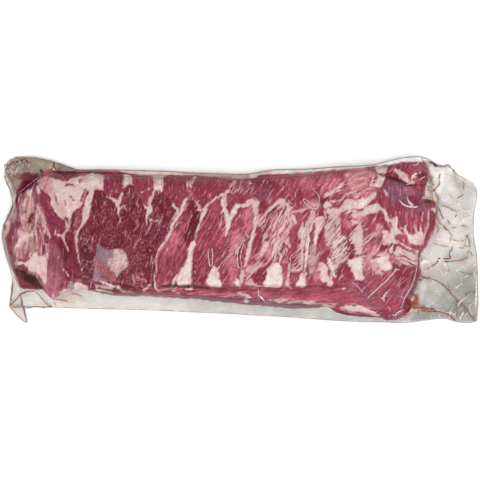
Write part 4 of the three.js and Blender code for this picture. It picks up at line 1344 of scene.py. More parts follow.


# Juice and grime under the film, pale patches of painted light over the floor's shadow beside the rack, and
# painted highlights: colour, strength, patchiness, softness, outline
FILM_STAINS_AND_LIGHT = [
    # back left corner: a dull base, blood, pale crumples with painted highlights on them, the dark pool
    # under the pleat
    ((150, 138, 124), 0.8, 0.2, 1.2, [-230,60, -230,72, -216,81, -200,80, -160,68, -190,66, -214,56,
     -219,44, -224,48]),
    # painted highlight on the corner's crumples
    ((168, 154, 150), 0.9, 0.3, 0.8, [-217.5,65, -216,69.5, -212,70, -209,66.5, -210,64.5]),
    ((146, 112, 94), 0.8, 0.7, 1, [-229,67, -224,74, -215,80, -213,78, -226,66]),
    ((124, 78, 64), 0.9, 0.6, 1.2, [-213,79, -206,79.5, -202,74, -206,71.5, -210,73]),
    ((128, 98, 88), 0.85, 0.6, 1.2, [-226,64, -220,65, -216,61, -219,57, -223,58]),
    # painted highlight on the corner's crumples
    ((206, 190, 176), 0.9, 0.5, 0.7, [-222.5,65, -222,70, -219,70, -217.5,66, -219.5,64]),
    ((190, 186, 182), 0.8, 0.4, 1, [-226.5,58, -222.5,56, -219.5,44, -221,42, -224.5,48]),
    ((146, 140, 126), 0.85, 0.5, 1.2, [-206,73, -197,74, -193,67, -206,67]),
    ((172, 150, 126), 0.8, 0.5, 0.9, [-198,76, -188,74, -184,69, -190,69]),
    ((226, 208, 192), 0.95, 0.8, 0.8, [-186,71, -183,74, -178,72.5, -179,67.5]),
    ((216, 212, 206), 0.8, 0.9, 0.8, [-228.5,64, -226,63, -221.5,53, -222.5,51]),
    ((122, 74, 62), 0.95, 0.3, 0.9, [-218,63.5, -209,65, -207,58, -216,59]),
    ((100, 38, 48), 0.97, 0.25, 0.8, [-211,58, -209.5,65.5, -205,66.3, -201,64, -196,63.5, -200,56]),
    ((150, 60, 74), 0.97, 0.5, 0.5, [-211,57.2, -211,58.4, -201,58, -200,57]),
    ((82, 12, 34), 1, 0.1, 0.8, [-216,44, -213,50, -211,57, -199,56.5, -214,43]),
    ((140, 50, 66), 0.9, 0.4, 0.7, [-216.5,44, -216,50, -211,57, -212,51]),
    ((172, 92, 98), 0.95, 0.4, 0.8, [-192,64.5, -189,67, -180,65, -184,62.5, -190,62.5]),
    ((166, 100, 100), 0.9, 0.3, 0.7, [-158,67.6, -136,67.4, -112,67.2, -112,65.6, -136,66.2, -158,66.6]),
    ((234, 208, 200), 0.9, 0.4, 0.8, [-113,67, -86,67, -62,66, -44,65.5, -44,63, -62,63, -86,63,
     -113,65.4]),
    ((192, 156, 146), 0.9, 0.5, 0.8, [-52,66, -20,64.5, 0,64, 14,65, 14,61.5, 0,59.5, -48,63]),
    ((216, 202, 190), 0.9, 0.4, 1, [10,65, 20,67, 34,68, 34,64.5, 22,63, 10,60]),
    # painted light: a pale patch over the floor's shadow behind the rack
    ((242, 236, 228), 0.9, 0.3, 1, [32,70, 45,71.5, 106,73, 124,74, 124,71, 105,69, 45,64.5, 32,64]),
    ((230, 208, 206), 0.8, 0.5, 1, [92,72, 124,74, 124,71, 105,69, 92,68]),
    # painted light: a pale patch over the floor's shadow behind the rack
    ((253, 250, 246), 0.9, 0.2, 1, [122,74, 145,79, 160,82, 178,84, 179,77, 160,75.5, 145,73, 122,71.5]),
    # painted light: pale patches over the floor's shadow beside the rack, this one and the next
    ((236, 228, 220), 0.5, 0.3, 1.5, [169,-56, 175,-40, 180,-42, 177,-56]),
    ((246, 242, 236), 0.65, 0.3, 2, [184,73, 197,69, 196,52, 191,46, 184,56]),
    ((216, 202, 190), 0.3, 0.5, 2, [-222,-50, -214,-54, -205,-53, -196,-60, -180,-62, -180,-64, -222,-64]),
    ((232, 222, 212), 0.88, 0.3, 1.2, [178.5,42.5, 182,57, 187,54, 190,47, 187,42]),
    ((250, 226, 214), 0.9, 0.3, 1, [176,41, 190,41, 189.5,37, 184,39]),
    ((255, 248, 240), 0.9, 0.2, 1.2, [174,-21, 180,-20, 184,-26, 177,-32, 174.5,-30]),
    ((200, 168, 166), 0.6, 0.4, 1.2, [-221,37, -217,36, -216.5,24, -219,17, -224,20]),
    # left rim
    ((178, 150, 148), 0.7, 0.5, 0.8, [-230,16, -227,27, -220,37, -218.5,34, -225,24, -228.5,12, -224,-14,
     -221,-26, -223,-28, -230,-6]),
    ((212, 184, 176), 0.9, 0.7, 0.8, [-226,14, -224.5,19, -222.5,18, -222,14, -224,12]),
    ((128, 84, 90), 0.7, 0.4, 0.8, [-134,-49.5, -120,-51, -100,-51, -92,-52.5, -100,-54, -120,-53.5,
     -134,-51.5]),
    # front rim, where the rack's edge darkens under the film
    ((150, 110, 104), 0.8, 0.7, 0.8, [-92,-51.5, -60,-53.5, -58,-56.5, -92,-54]),
    ((206, 186, 164), 0.3, 0.5, 3, [-178,-54, -160,-52, -150,-58, -160,-62, -178,-62]),
    # right margin
    ((184, 104, 76), 0.65, 0.7, 2, [162,-58, 168,-53, 173,-54, 170,-66, 158,-76]),
    ((126, 30, 44), 0.95, 0.3, 1, [160,-57, 164,-57, 165.5,-61, 163.5,-68, 158,-73]),
    # painted highlights: this cream patch and the next, at the meat's front right corner
    ((222, 208, 192), 0.85, 0.7, 0.8, [165,-57, 169,-50, 171.5,-48, 167,-58]),
    ((214, 196, 178), 0.8, 0.8, 0.8, [165,-66, 170,-64, 173,-66, 168,-70, 164,-70]),
    ((160, 76, 60), 0.6, 0.5, 1, [164,-61, 170,-59, 171,-63, 166,-65]),
    ((214, 160, 156), 0.25, 0.8, 1.5, [186,12, 190,10, 186,-6, 180,-10, 180,-4]),
    ((214, 196, 186), 0.4, 0.8, 2, [174,-24, 184,-22, 182,-32, 176,-36]),
    ((200, 160, 138), 0.12, 0.9, 1.5, [181,60, 186,62, 190,44, 194,24, 190,10, 188,14, 189,34, 184,42]),
    ((150, 122, 104), 0.3, 0.6, 1, [181,75.5, 184,76, 190,72.5, 197,72, 197,70, 189,70]),
    ((192, 178, 168), 0.6, 0.5, 1.5, [205,68, 208,66, 209.5,56, 211.5,51, 209,50]),
]
EDGE_COLOUR = (158, 142, 130)
# How far meat and fat reach under the film's edge
MEAT_EDGE = [
    128,71.8, 110,70.8, 84,66.3, 74,65.5, 70,64.2, 53,63.2, 50,61.8, 47,63.5, 30,64, 16,62, -3,58.5,
     -56,62.8, -76,61.5, -98,63, -113,65, -160,66.3, -182,66.8, -190,66, -196,61, -215.5,43.5, -218,34,
     -223,27, -227,19, -227.8,12, -226,-6, -223,-14, -219,-30, -214,-38, -211.5,-46, -200,-47.8, -170,-46,
     -150,-47.5, -125,-52.5, -108,-52.5, -76,-54, -60,-56.4, -40,-57.5, 30,-64.5, 60,-66.4, 80,-64.8,
     86,-65.3, 94,-70.4, 107,-72.6, 132,-74.8, 144,-78, 155,-75.4, 163.5,-67, 164.5,-60, 167,-50, 171,-42,
     173.5,-33, 174,-25, 172.5,-20, 174,-14, 181.5,-3, 187.5,12, 189.5,20, 187,37.5, 178,41.5, 178,46,
     181,60, 178.5,73, 174,77, 169,77.8, 152,74.5, 148,71.3, 141,71.5,
]
# Where the film looks greyer, as painted shade: greyer towards the lower right, and less grey near the rack
# against the floor's shadow there: strength, softness, outline
FILM_GREYS_AND_SHADE = [
    (0, 3, [176,84, 210,74, 232,54, 230,-22, 176,-24]),
    (0.2, 4, [205,66, 232,56, 232,-22, 220,-20, 216,0, 210,50]),
    (0.42, 3, [-60,-58, 60,-64, 140,-76, 160,-80, 160,-90, -60,-80]),
    (0.38, 4, [172,-36, 190,-28, 198,-16, 240,-16, 240,-90, 150,-90, 158,-72]),
    (0.8, 7, [206,-38, 236,-30, 240,-90, 200,-90, 190,-62]),
    (0.88, 1.5, [172,-69.5, 200,-71.5, 206,-77, 206,-82, 166,-82]),
    (0.22, 6, [-150,-50, -60,-54, -60,-80, -150,-80]),
    (0.4, 2, [-232,72, -214,84, -180,80, -150,68, -190,66, -214,56, -218,44, -224,30, -232,20]),
]


def lay_film_colour(tint, milky, share, strength, colour):
    """Lays a colour over the film's tint and gives the new milkiness."""
    cover = milky + share * (strength - milky)
    weight = np.clip(share * strength / np.maximum(cover, 1e-3), 0, 1)
    tint += weight[:, None] * (colour - tint)
    return cover


def paint_film(piece, edge):
    """How milky and how grey the film is, with painted shade and highlights on its crumples, pale patches
    of painted light beside the rack, and the stains under it.
    """
    co = np.empty(len(piece.data.vertices) * 3)
    piece.data.vertices.foreach_get("co", co)
    x, y, z = (co.reshape(-1, 3) / MM).T
    u, v = spread(x, y, z)
    u = u + 0.6 * noise(x, y, 5.0, 231) + 0.4 * noise(x, y, 1.8, 232)
    v = v + 0.6 * noise(x, y, 5.0, 233) + 0.4 * noise(x, y, 1.8, 234)
    margin = smooth(-0.5, 1.0, -depth_inside(x, y, rack_outline()[::2]))
    # painted highlight and shade: the margin's milkiness rising and falling with the crumples' facets
    milky = 0.05 * margin * (1 + 0.8 * facets(x, y, 8.0, 204))
    tint = np.tile(linear((226, 218, 208)), (len(x), 1))
    grey = np.full(len(x), 0.04)
    # painted shade: the film greyer inside the outlines above
    for strength, softness, shape in FILM_GREYS_AND_SHADE:
        share = smooth(-softness, softness, depth_inside(u, v, curve_through(shape, True, 2)))
        grey += share * (strength - grey)
    # painted shade: each crumple facet made lighter or darker, as the crumples' own facets
    grey *= 1 + crumple_facets(x, y, 0.12, 0.2, 0.15)
    meat = paint_top(u, v)
    fat = smooth(-0.8, 0.9, meat.fat)[:, None]
    fringe = smooth(-0.6, 0.6, depth_inside(u, v, curve_through(MEAT_EDGE, True)))
    fringe *= smooth(3.0, 1.0, depth_inside(x, y, rack_outline()[::2]))
    milky = lay_film_colour(tint, milky, fringe, 0.97, meat.muscle + fat * (meat.fat_tone - meat.muscle))
    for k, (colour, strength, patchy, softness, shape) in enumerate(FILM_STAINS_AND_LIGHT):
        blotches = smooth(-0.25, 0.25, fractal(x, y, 4.0, 240 + 5 * k))
        share = smooth(-softness, softness, depth_inside(u, v, curve_through(shape, True)))
        share *= 1 - patchy * (1 - blotches)
        milky = lay_film_colour(tint, milky, share, strength, linear(colour))
    rim = edge * (0.25 + 0.35 * blotches)
    tint += (edge * margin)[:, None] * (linear(EDGE_COLOUR) - tint)
    milky += rim * (1 - milky)
    # how strongly the film's shader lays painted shade and highlights on the crumples
    crumpled = margin * (0.2 + 0.8 * wide_margin(x, y))
    milky, grey = np.clip(milky, 0, 1), np.clip(grey, 0, 1) * margin
    store(piece, milky=milky, grey=grey, margin=margin, crumpled=crumpled)
    store(piece, "FLOAT_COLOR", tint=tint)


def film_material():
    """Thin clear film: see-through, with painted shade on the facets of its crumples and painted highlights
    and shade along their creases, and a hard gloss.
    """
    nodes = Nodes("clear_film")
    milky = nodes.attribute("milky")
    margin = nodes.attribute("margin")
    tint = nodes.attribute("tint", "Color")
    crinkle = nodes.noise(420.0, 3.0, 0.6)
    creases = nodes.noise(130.0, 3.0, 0.55)
    height = nodes.math("ADD", crinkle, nodes.times(creases, 2.0))
    strength = nodes.mapped(margin, 0.0, 1.0, 0.10, 0.5)
    normal = nodes.bump(height, strength, 0.0009)
    body = nodes.shader(tint, 0.55, 0.05, Normal=normal)
    veil = nodes.mixed(nodes.attribute("grey"), (0.99, 0.985, 0.98, 1.0), (0.74, 0.735, 0.725, 1.0))
    wander = nodes.vector_math("SCALE", {0: nodes.wander(120.0), 3: 0.003})
    bent = nodes.vector_math("ADD", {0: nodes.place(), 1: wander})
    crumpled = nodes.attribute("crumpled")
    # painted shade: each Voronoi facet of the crumpled margin darkened by its own amount
    for scale, depth in ((75.0, 0.05), (190.0, 0.05)):
        facet_shade = nodes.add("ShaderNodeTexVoronoi", {"Vector": bent, "Scale": scale}).outputs["Color"]
        facet_shade = nodes.times(facet_shade, nodes.times(crumpled, depth))
        veil = nodes.mixed(facet_shade, veil, (0.0, 0.0, 0.0, 1.0))
    # painted highlights and painted shade along the facets' edges: pale along some stretches, darker along
    # the rest
    seam = nodes.add("ShaderNodeTexVoronoi", {"Vector": bent, "Scale": 70.0}, feature="DISTANCE_TO_EDGE")
    seam = nodes.mapped(seam.outputs["Distance"], 0.0, 0.05, 1.0, 0.0)
    broken = nodes.mapped(nodes.noise(60.0, 2.0, 0.5), 0.45, 0.6)
    crease_highlight = nodes.times(nodes.times(seam, broken), nodes.times(crumpled, 0.6))
    milky = nodes.math("MAXIMUM", milky, crease_highlight)
    crease_shade = nodes.times(nodes.times(seam, nodes.math("SUBTRACT", 1.0, broken)), crumpled)
    veil = nodes.mixed(nodes.times(crease_shade, 0.16), veil, (0.5, 0.45, 0.4, 1.0))
    clear = nodes.add("ShaderNodeBsdfTransparent", {"Color": veil}).outputs[0]
    inputs = {"Color": (1, 1, 1, 1), "Roughness": 0.22, "Normal": normal}
    gloss = nodes.add("ShaderNodeBsdfGlossy", inputs).outputs[0]
    facing = nodes.add("ShaderNodeFresnel", {"IOR": 1.45, "Normal": normal}).outputs[0]
    shine = nodes.times(facing, nodes.mapped(margin, 0.0, 1.0, 0.35, 0.5))
    shine = nodes.times(shine, nodes.mapped(milky, 0.3, 0.95, 1.0, 0.2))
    return nodes.finish(nodes.mixed_shader(shine, nodes.mixed_shader(milky, clear, body), gloss))


# Juice that has run into the creases of the margin: paint, half width, lines
JUICE_LINES = [
    ("amber", 0.6, [175,79, 180,71, 185,56, 187,52], [181,53.5, 181.5,51.5, 185.5,51.5], [181.5,51,
     181.8,47], [191,42, 191.5,38], [189,15, 191,13, 191.3,10, 190,6], [200.5,20, 201.5,17, 203,15.5],
     [215,56, 216,54, 215.5,48.5], [213,13.5, 216,13.8, 219,13], [211,-60, 209.5,-63, 209.5,-70, 208.5,-76],
     [-182,-57, -170,-58.5, -166,-60], [-180,-60, -178,-64]),
    ("dark juice", 0.8, [183,75.5, 186,74.5, 188.5,71.5, 195,70.8], [190.5,-18, 193.5,-18]),
    ("brown juice", 0.6, [195,71, 200,71.8, 203,70], [-228,68, -225,71, -220,74, -218,77, -214,79.5],
     [-210,71, -206,69, -204,67], [-216,46, -221,58], [154,75, 156,68]),
    ("brown juice", 1, [205,68, 207,66.5], [-219.8,-42, -222.7,-63.5], [-212.5,-52, -210.3,-64]),
    ("rust juice", 0.8, [193.5,64, 192,58], [188,46, 189.5,43], [196,14, 197.5,11.5, 201,8.5], [174,-68.6,
     190,-69], [166,-52, 170,-55, 170,-59], [174,-28, 174,-33]),
    ("amber", 0.7, [192,58, 191.5,53, 188,49.5], [189.5,43, 192,34], [190.5,34, 190,28, 191.5,18, 196,14],
     [199,-29.5, 203,-30], [-224,67, -221,69, -217.5,63]),
    ("rust juice", 1, [188.5,50, 186,47], [165.5,-61.5, 168,-61, 170,-62], [-180,71, -184,67]),
    ("amber", 0.8, [178.5,39.8, 184,39.8, 190,34.5], [220,3, 221,-4], [-163,-51.5, -153,-54]),
    ("amber", 0.5, [192,33, 196,33, 207,28.5, 209.5,26.5], [201,8.5, 204.5,4, 203,1.5, 203,-2], [203,1,
     212,-1.5], [208.5,39.5, 214,43, 215,45], [186,-2.5, 202,-7.5], [184,-25.5, 182,-27, 180.5,-30],
     [202,-21, 216,-19, 220,-16], [211,-7, 215,-8, 216,-6.5, 219.5,-5.5], [200,-40, 202,-50], [170,-56,
     172,-62, 171,-72]),
    ("brown juice", 0.8, [209,25, 207.5,21.5], [213,-60.5, 227,-79], [-219,62, -220,54], [70,68, 71.5,68]),
    ("rust juice", 0.7, [191.5,31.5, 196,20], [-173,71, -175,68, -180,65.5]),
    ("brown juice", 0.7, [204,11.3, 208,11.7], [187,-38.3, 197,-44.5, 211,-60], [217,-54, 220,-51],
     [-222,-63, -210,-51.5, -198,-49], [-222,-65, -183,-65], [-213,76, -209,73, -204,73.5, -201,71]),
    ("olive juice", 0.8, [217.5,2.3, 220,5], [175,-67.3, 186,-67.7]),
    ("amber", 1.2, [212.5,-0.5, 215.5,-1]), ("rust juice", 1.5, [220.5,-5.5, 222,-6.5]),
    ("rust juice", 0.5, [205,-6.5, 202,-14.5, 203,-16.5, 202,-18, 196,-18]),
    ("rust juice", 0.6, [190.5,-19, 189.5,-22, 184,-25.5], [173,-33, 177,-36, 187,-38.3]),
    ("dark juice", 0.7, [197,-21, 202,-21], [100,-70.5, 105,-72, 120,-73, 128,-75]),
    ("olive juice", 1, [215,-18.8, 216.3,-18.8], [225.5,-49, 225.5,-52.5]),
    ("olive juice", 0.7, [221,-9.5, 220,-12, 221,-13.5], [222,-10.5, 224,-15]),
    ("olive juice", 0.5, [211,-31, 217,-32]), ("olive juice", 0.6, [217,-33.5, 221,-33, 225,-34.3]),
    ("dark juice", 1.2, [221,-49.5, 222,-50], [161.5,-60, 163,-63, 162,-67, 160,-69]),
    ("rust juice", 0, [160,-64,0.8, 166,-65.5,0.6, 185,-66.2,0.7, 188,-68,0.6, 201,-72,0.6, 208,-79,0.4],
     [-180,75,1.2, -180,70,0.9, -178.5,67.5,0.8]),
    ("rust juice", 1.2, [172.5,-38.5, 175.5,-38.5], [-184.3,-64.2, -182,-64.2]),
    ("amber", 0, [-198,-50,0.3, -186,-62.5,0.5, -183,-64.3,1.1]),
    ("amber", 0.4, [-218.5,-35, -212.5,-45, -211.5,-49]),
    ("dark juice", 0.6, [-219,77, -214,76, -208,77, -205,75]),
    ("dark juice", 1, [-193,69, -192,67, -190,65]),
    ("brown juice", 0.5, [-160,67.4, -126,67], [-228.5,62, -220,42], [-220,36, -221,30, -228,15, -229,10]),
    ("brown juice", 0.4, [-200,79.5, -180,75.5, -160,68.3]),
]

# Raised creases of the film, their pale colour a painted highlight: paint, half width, lines
FILM_PLEAT_HIGHLIGHTS = [
    ("pleat", 0.6, [-216,44, -191.5,62.5], [4,1.5, -2,-10, -2.5,-24, 1,-28.5], [46,39, 50,34]),
    ("glint", 0.5, [-226.5,60, -221.5,48], [38,4, 33,-18], [62,-26, 65,-9, 66,8], [69,19.5, 73,17], [200,36,
     195,40, 193,46]),
    ("pleat", 0.4, [-219.5,-10, -214,-3, -207,2.5, -201,4], [-6,-12, -17,-21, -22,-30], [69.5,50, 76,42,
     75.5,33, 74,30.5, 71,30, 67,31.5, 63,35, 61,38, 62,39.5, 70,34.5]),
    ("glint", 0.7, [-203,46.5, -201.5,47.5], [12.5,18.5, 14,20, 15,23], [85,-17, 86,-20, 84,-23],
     [215.8,-69.5, 213.5,-73, 211.5,-79]), ("glint", 1.5, [-87,-10.5, -86.6,-10]),
    ("pleat", 0.7, [-85,-21, -84.5,-24], [150,-29, 154,-28.5], [17,-47, 18,-55]),
    ("pleat", 0.5, [-83.6,-33, -82,-45, -80,-49], [-30,-8, -31,-12, -30,-23, -28,-25.5, -27,-22, -27,-10,
     -28.5,-8], [-5,-15, -10,-20], [4.5,9.5, 5.5,6, 9,1], [4.5,0.5, 0.5,-13, 1.2,-28], [60,-28, 59,-22,
     60.5,-2, 65,16], [171,-23, 167,-40, 158,-58, 155,-66], [154,-54, 158,-56], [144.3,-47, 143,-49],
     [173.5,57.5, 176,60, 178.5,61], [160,53, 165,55, 168,54.5], [142.5,-63.5, 145.5,-69.5], [112,-43,
     117,-49]),
    ("pleat", 1, [-54,-3.3, -53.6,-2.7], [153.5,38.3, 159,33.4, 167,31.8, 171.8,32.2], [135,-56.3,
     137.7,-56, 142.8,-49], [168,59.5, 170.5,62]),
    ("glint", 1, [-20.3,-8.2, -19.7,-7.8], [-3,-38.5, -2,-40.5], [35,5, 37,5], [19,-54, 23.5,-59.2]),
    ("pleat", 0.3, [-10,47, -2,40]),
    ("glint", 0.6, [8,55.5, 11,54], [53,41, 53,45.5], [209.7,-64.5, 212,-60.5, 218,-55], [215.3,-37.2,
     217,-35.5, 221,-34.6], [192,-71, 192.3,-75]),
    ("glint", 0.8, [91,-15, 89.5,-14.5], [89,-30, 91,-34], [227.6,-34, 227.8,-56, 227,-64], [219.5,-12,
     218.5,-9.5]),
    ("glint", 0.4, [33.5,3, 30.7,-18], [74,31, 72,30, 67,31.5], [118,-64, 124,-68, 130,-70], [168.5,71.5,
     176,78, 179,74]),
    ("pleat", 0, [123.3,-56.5,1, 125,-54,0.6, 140,-40,0.6, 148,-31.5,0.6, 150,-28.5,0.7, 149.5,-27,0.4],
     [161,42.5,0.3, 162,38.5,0.6, 164,35.5,1.1, 167,33.4,1], [138.5,-56,1, 139,-60,0.3]),
    ("glint", 1.2, [165.5,59.3, 167,61.5, 170.8,64.7], [147,-72, 148.2,-72.5], [205.5,-63.3, 206.5,-63.5]),
    ("pleat", 1.2, [166.8,72, 168.2,73]),
    ("pleat", 0.8, [170.2,72.8, 172,73.6], [172,64, 175,66], [149,-74, 152,-70, 158,-67]),
]
LINE_STEP = 0.7
JUICE_WIDTH = 1.3


def surface_of(piece):
    shape = bmesh.new()
    shape.from_mesh(piece.data)
    tree = BVHTree.FromBMesh(shape)
    shape.free()
    return tree


def height_on(tree, places):
    """Height of a piece at places in millimetres; beside it, that of the place before."""
    heights, last = [], 3.0
    for px, py in places[:, :2]:
        height = height_at(tree, px, py)
        last = last if np.isnan(height) else height
        heights.append(last)
    return np.array(heights)


# Small crumples and their juice in the back left corner, the crumples as strokes of painted highlight:
# paint, number, longest, half width
CORNER_CRUMPLES = [
    ("crumple highlight", 34, 6.0, 0.45), ("glint", 14, 4.0, 0.35),
    ("rust juice", 22, 5.0, 0.35), ("brown juice", 34, 7.0, 0.45),
]
CORNER_MIDDLE = (-213.0, 70.0)
CORNER_SIZE = (15.0, 9.0)


def corner_lines(paints):
    """Short bent strokes, strewn over the crumpled corner."""
    random = np.random.default_rng(77)
    lines = []
    for colour, number, longest, half in CORNER_CRUMPLES:
        for _ in range(number):
            across, along = random.uniform(-1, 1, 2)
            turn, bend = random.uniform(0, np.pi), random.uniform(-0.7, 0.7)
            length, width = longest * random.uniform(0.35, 1), half * random.uniform(0.6, 1.3)
            x, y = CORNER_MIDDLE[0] + CORNER_SIZE[0] * across, CORNER_MIDDLE[1] + CORNER_SIZE[1] * along
            if across ** 2 + along ** 2 > 1 or y < 64 and x > -218 or colour not in paints:
                continue
            half_run = 0.5 * length * np.array([np.cos(turn), np.sin(turn)])
            middle = np.array([-half_run[1], half_run[0]]) * bend
            places = ((-half_run, 0.5), (middle, 1.0), (half_run, 0.4))
            lines.append((colour, [(x + step[0], y + step[1], width * share) for step, share in places]))
    return lines


def lay_line(shell, tree, points, rise, wander):
    """A low bead along a line on a piece; gives its number of vertices."""
    curve = curve_through(points, False, 6)
    length = np.hypot(*np.diff(curve[:, :2], axis=0).T).sum()
    count = max(int(length / LINE_STEP), 4)
    line = resample(curve, np.linspace(0, 1, count + 1))
    line[:, :2] += PICTURE_SHIFT
    line[:, :2] *= (1 - height_on(tree, line) * MM / CAMERA_HEIGHT)[:, None]
    x, y = line[:, 0], line[:, 1]
    line[:, 0] = x + wander * noise(x, y, 3.1, 401) + 0.5 * wander * noise(x, y, 1.1, 402)
    line[:, 1] = y + wander * noise(x, y, 3.1, 403) + 0.5 * wander * noise(x, y, 1.1, 404)
    run = np.gradient(line[:, :2], axis=0)
    run /= np.maximum(np.hypot(run[:, 0], run[:, 1]), 1e-9)[:, None]
    side = np.stack([-run[:, 1], run[:, 0]], 1)
    half = np.maximum(line[:, 2] * (1 + 0.35 * noise(x, y, 2.3, 405)), 0.15)
    half[0], half[-1] = 0.06, 0.06
    height = height_on(tree, line)
    rows = []
    for across, up in ((-1.0, -0.05), (-0.5, rise), (0.5, rise), (1.0, -0.05), (0.0, -0.25)):
        place = line[:, :2] + (across * half)[:, None] * side
        rows.append(shell.add(np.column_stack([place, np.maximum(height + up, 0.05)])))
    rings = np.stack(rows, 1)
    for first, second in zip(rings[:-1], rings[1:]):
        for k in range(5):
            shell.faces.append([first[k], second[k], second[(k + 1) % 5], first[(k + 1) % 5]])
    shell.faces.append(list(rings[0]))
    shell.faces.append(list(rings[-1][::-1]))
    return rings.size


def widened_lines(lines):
    """The lines with JUICE_WIDTH times their half widths."""
    return [(colour, [(x, y, half * JUICE_WIDTH) for x, y, half in points]) for colour, points in lines]


def build_lines(name, film, lines, rise, wander):
    """All beads of one kind as one piece, each with its own colour."""
    tree = surface_of(film)
    shell = Shell()
    colours = []
    for colour, points in lines:
        count = lay_line(shell, tree, points, rise, wander)
        colours.append(np.tile(linear(PAINTS[colour]), (count, 1)))
    piece = shell.mesh_object(name)
    store(piece, "FLOAT_COLOR", tint=np.vstack(colours))
    return piece


def bead_material(name, cover, roughness):
    """A thin see-through bead in its own colour, patchy along its length."""
    nodes = Nodes(name)
    patchy = nodes.mapped(nodes.noise(500.0, 2.0, 0.6), 0.3, 0.65, *cover)
    body = nodes.shader(nodes.attribute("tint", "Color"), roughness, 0.3)
    clear = nodes.add("ShaderNodeBsdfTransparent").outputs[0]
    return nodes.finish(nodes.mixed_shader(patchy, clear, body))


# The thin folded tail at the front left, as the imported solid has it
TAIL_OUTLINE = [-221,-62.5, -222.4,-65, -212,-76.8, -206,-80.7, -204.9,-79.8, -207.2,-73, -209,-62.5]
TAIL_MIDDLE = (-213.0, -68.0)
TAIL_TOP, TAIL_BOTTOM = 3.3, 2.6
TAIL_START = (-203.0, -65.0)


def build_tail():
    """The folded tail of the bag: a thin flap with its two creases."""
    shell = Shell()
    outline = resample(curve_through(TAIL_OUTLINE + TAIL_OUTLINE[:2], False, 3), np.arange(48) / 48)
    rings = []
    for level in (TAIL_TOP, TAIL_BOTTOM):
        turned = []
        for share in (0.25, 0.5, 0.75, 1.0):
            at = TAIL_MIDDLE + share * (outline - TAIL_MIDDLE)
            wave = 0.12 * facets(at[:, 0], at[:, 1], 4.0, 501)
            turned.append(shell.add(np.column_stack([at, level + wave])))
        rings.append(turned)
    top, bottom = rings
    shell.faces.append(list(top[0]))
    for inner, outer in zip(top[:-1], top[1:]):
        shell.join_rings(inner, outer)
    shell.join_rings(top[-1], bottom[-1])
    for outer, inner in zip(bottom[:0:-1], bottom[-2::-1]):
        shell.join_rings(outer, inner)
    shell.faces.append(list(bottom[0][::-1]))
    piece = shell.mesh_object("bag_tail")
    look = {"milky": 0.12, "grey": 0.12, "margin": 1.0, "crumpled": 0.4}
    store(piece, **{name: np.full(shell.count, value) for name, value in look.items()})
    store(piece, "FLOAT_COLOR", tint=np.tile(linear((214, 204, 190)), (shell.count, 1)))
    return piece


# Juice in the tail's two creases: paint, half width, lines
TAIL_LINES = [
    ("amber", 0, [-222,-65.3,0.5, -217,-71,0.4, -212,-76.3,0.5, -206.5,-80.1,0.5]),
    ("brown juice", 0, [-210.2,-63.5,0.8, -209,-68,0.9, -207.8,-73,0.7, -205.8,-79.5,0.7]),
]


# Settings that a user would change
class RackSettings(bpy.types.PropertyGroup):
    relief: bpy.props.FloatProperty(
        name="Relief", description="How strongly seams and folds stand out",
        default=1.0, min=0.0, max=2.0, subtype="FACTOR")


class BagSettings(bpy.types.PropertyGroup):
    crumple: bpy.props.FloatProperty(
        name="Crumple", description="How deeply the margin of the bag is crumpled",
        default=1.0, min=0.0, max=2.0, subtype="FACTOR")


class StageSettings(bpy.types.PropertyGroup):
    camera_height: bpy.props.FloatProperty(
        name="Camera height", description="Height of the camera above the floor",
        default=CAMERA_HEIGHT, unit="LENGTH")
    view_width: bpy.props.FloatProperty(
        name="View width", description="Width that the picture shows at the pack",
        default=0.4637, unit="LENGTH")
    floor_colour: bpy.props.FloatVectorProperty(
        name="Floor colour", description="Colour of the floor",
        default=(0.94, 0.94, 0.94), size=3, subtype="COLOR")


class RIBS_OT_rack(bpy.types.Operator):
    """Builds the rack of ribs inside the bag"""
    bl_idname = "ribs.rack"
    bl_label = "Rack of ribs"

    def execute(self, context):
        deselect_all()
        piece = build_rack(context.scene.ribs_rack)
        dress(piece, meat_material())
        return {"FINISHED"}


class RIBS_OT_bag(bpy.types.Operator):
    """Draws the clear bag over the rack, with its crumpled margin and its folded tail"""
    bl_idname = "ribs.bag"
    bl_label = "Clear bag"

    def execute(self, context):
        deselect_all()
        film = film_material()
        dress(build_film(context.scene.ribs_bag), film)
        dress(build_tail(), film)
        return {"FINISHED"}


class RIBS_OT_creases(bpy.types.Operator):
    """Lays the juice, and the raised creases with their painted highlights, along the film"""
    bl_idname = "ribs.creases"
    bl_label = "Juice and creases"

    def execute(self, context):
        film, tail = (bpy.data.objects.get(name) for name in ("clear_bag", "bag_tail"))
        if film is None or tail is None:
            raise RuntimeError("the clear bag has to be built first")
        deselect_all()
        juice = bead_material("meat_juice", (0.5, 1.0), 0.4)
        lines = widened_lines(strokes(JUICE_LINES)) + corner_lines(("brown juice", "rust juice"))
        dress(build_lines("juice_lines", film, lines, 0.22, 0.5), juice)
        dress(build_lines("tail_juice", tail, strokes(TAIL_LINES), 0.2, 0.2), juice)
        pleat = bead_material("film_pleats", (0.25, 0.8), 0.3)
        lines = strokes(FILM_PLEAT_HIGHLIGHTS) + corner_lines(("glint", "crumple highlight"))
        dress(build_lines("film_pleats", film, lines, 0.3, 0.2), pleat)
        return {"FINISHED"}


# Softboxes aimed at the pack: name, place and size in metres, power in watts
SOFTBOXES = (
    ("softbox_front", (0.2, -1.4, 2.1), (2.4, 1.4), 34),
    ("softbox_left", (-1.8, 0.3, 1.5), (1.4, 1.6), 12),
    ("softbox_right", (1.8, 0.3, 1.5), (1.4, 1.6), 12),
)
SKY_STRENGTH = 0.74
SENSOR_WIDTH = 36.0


def soft_light(name, place, size, power):
    data = bpy.data.lights.new(name, "AREA")
    data.shape = "RECTANGLE"
    data.size, data.size_y = size
    data.energy = power
    lamp = bpy.data.objects.new(name, data)
    bpy.context.collection.objects.link(lamp)
    lamp.location = place
    lamp.rotation_euler = (-Vector(place)).to_track_quat("-Z", "Y").to_euler()


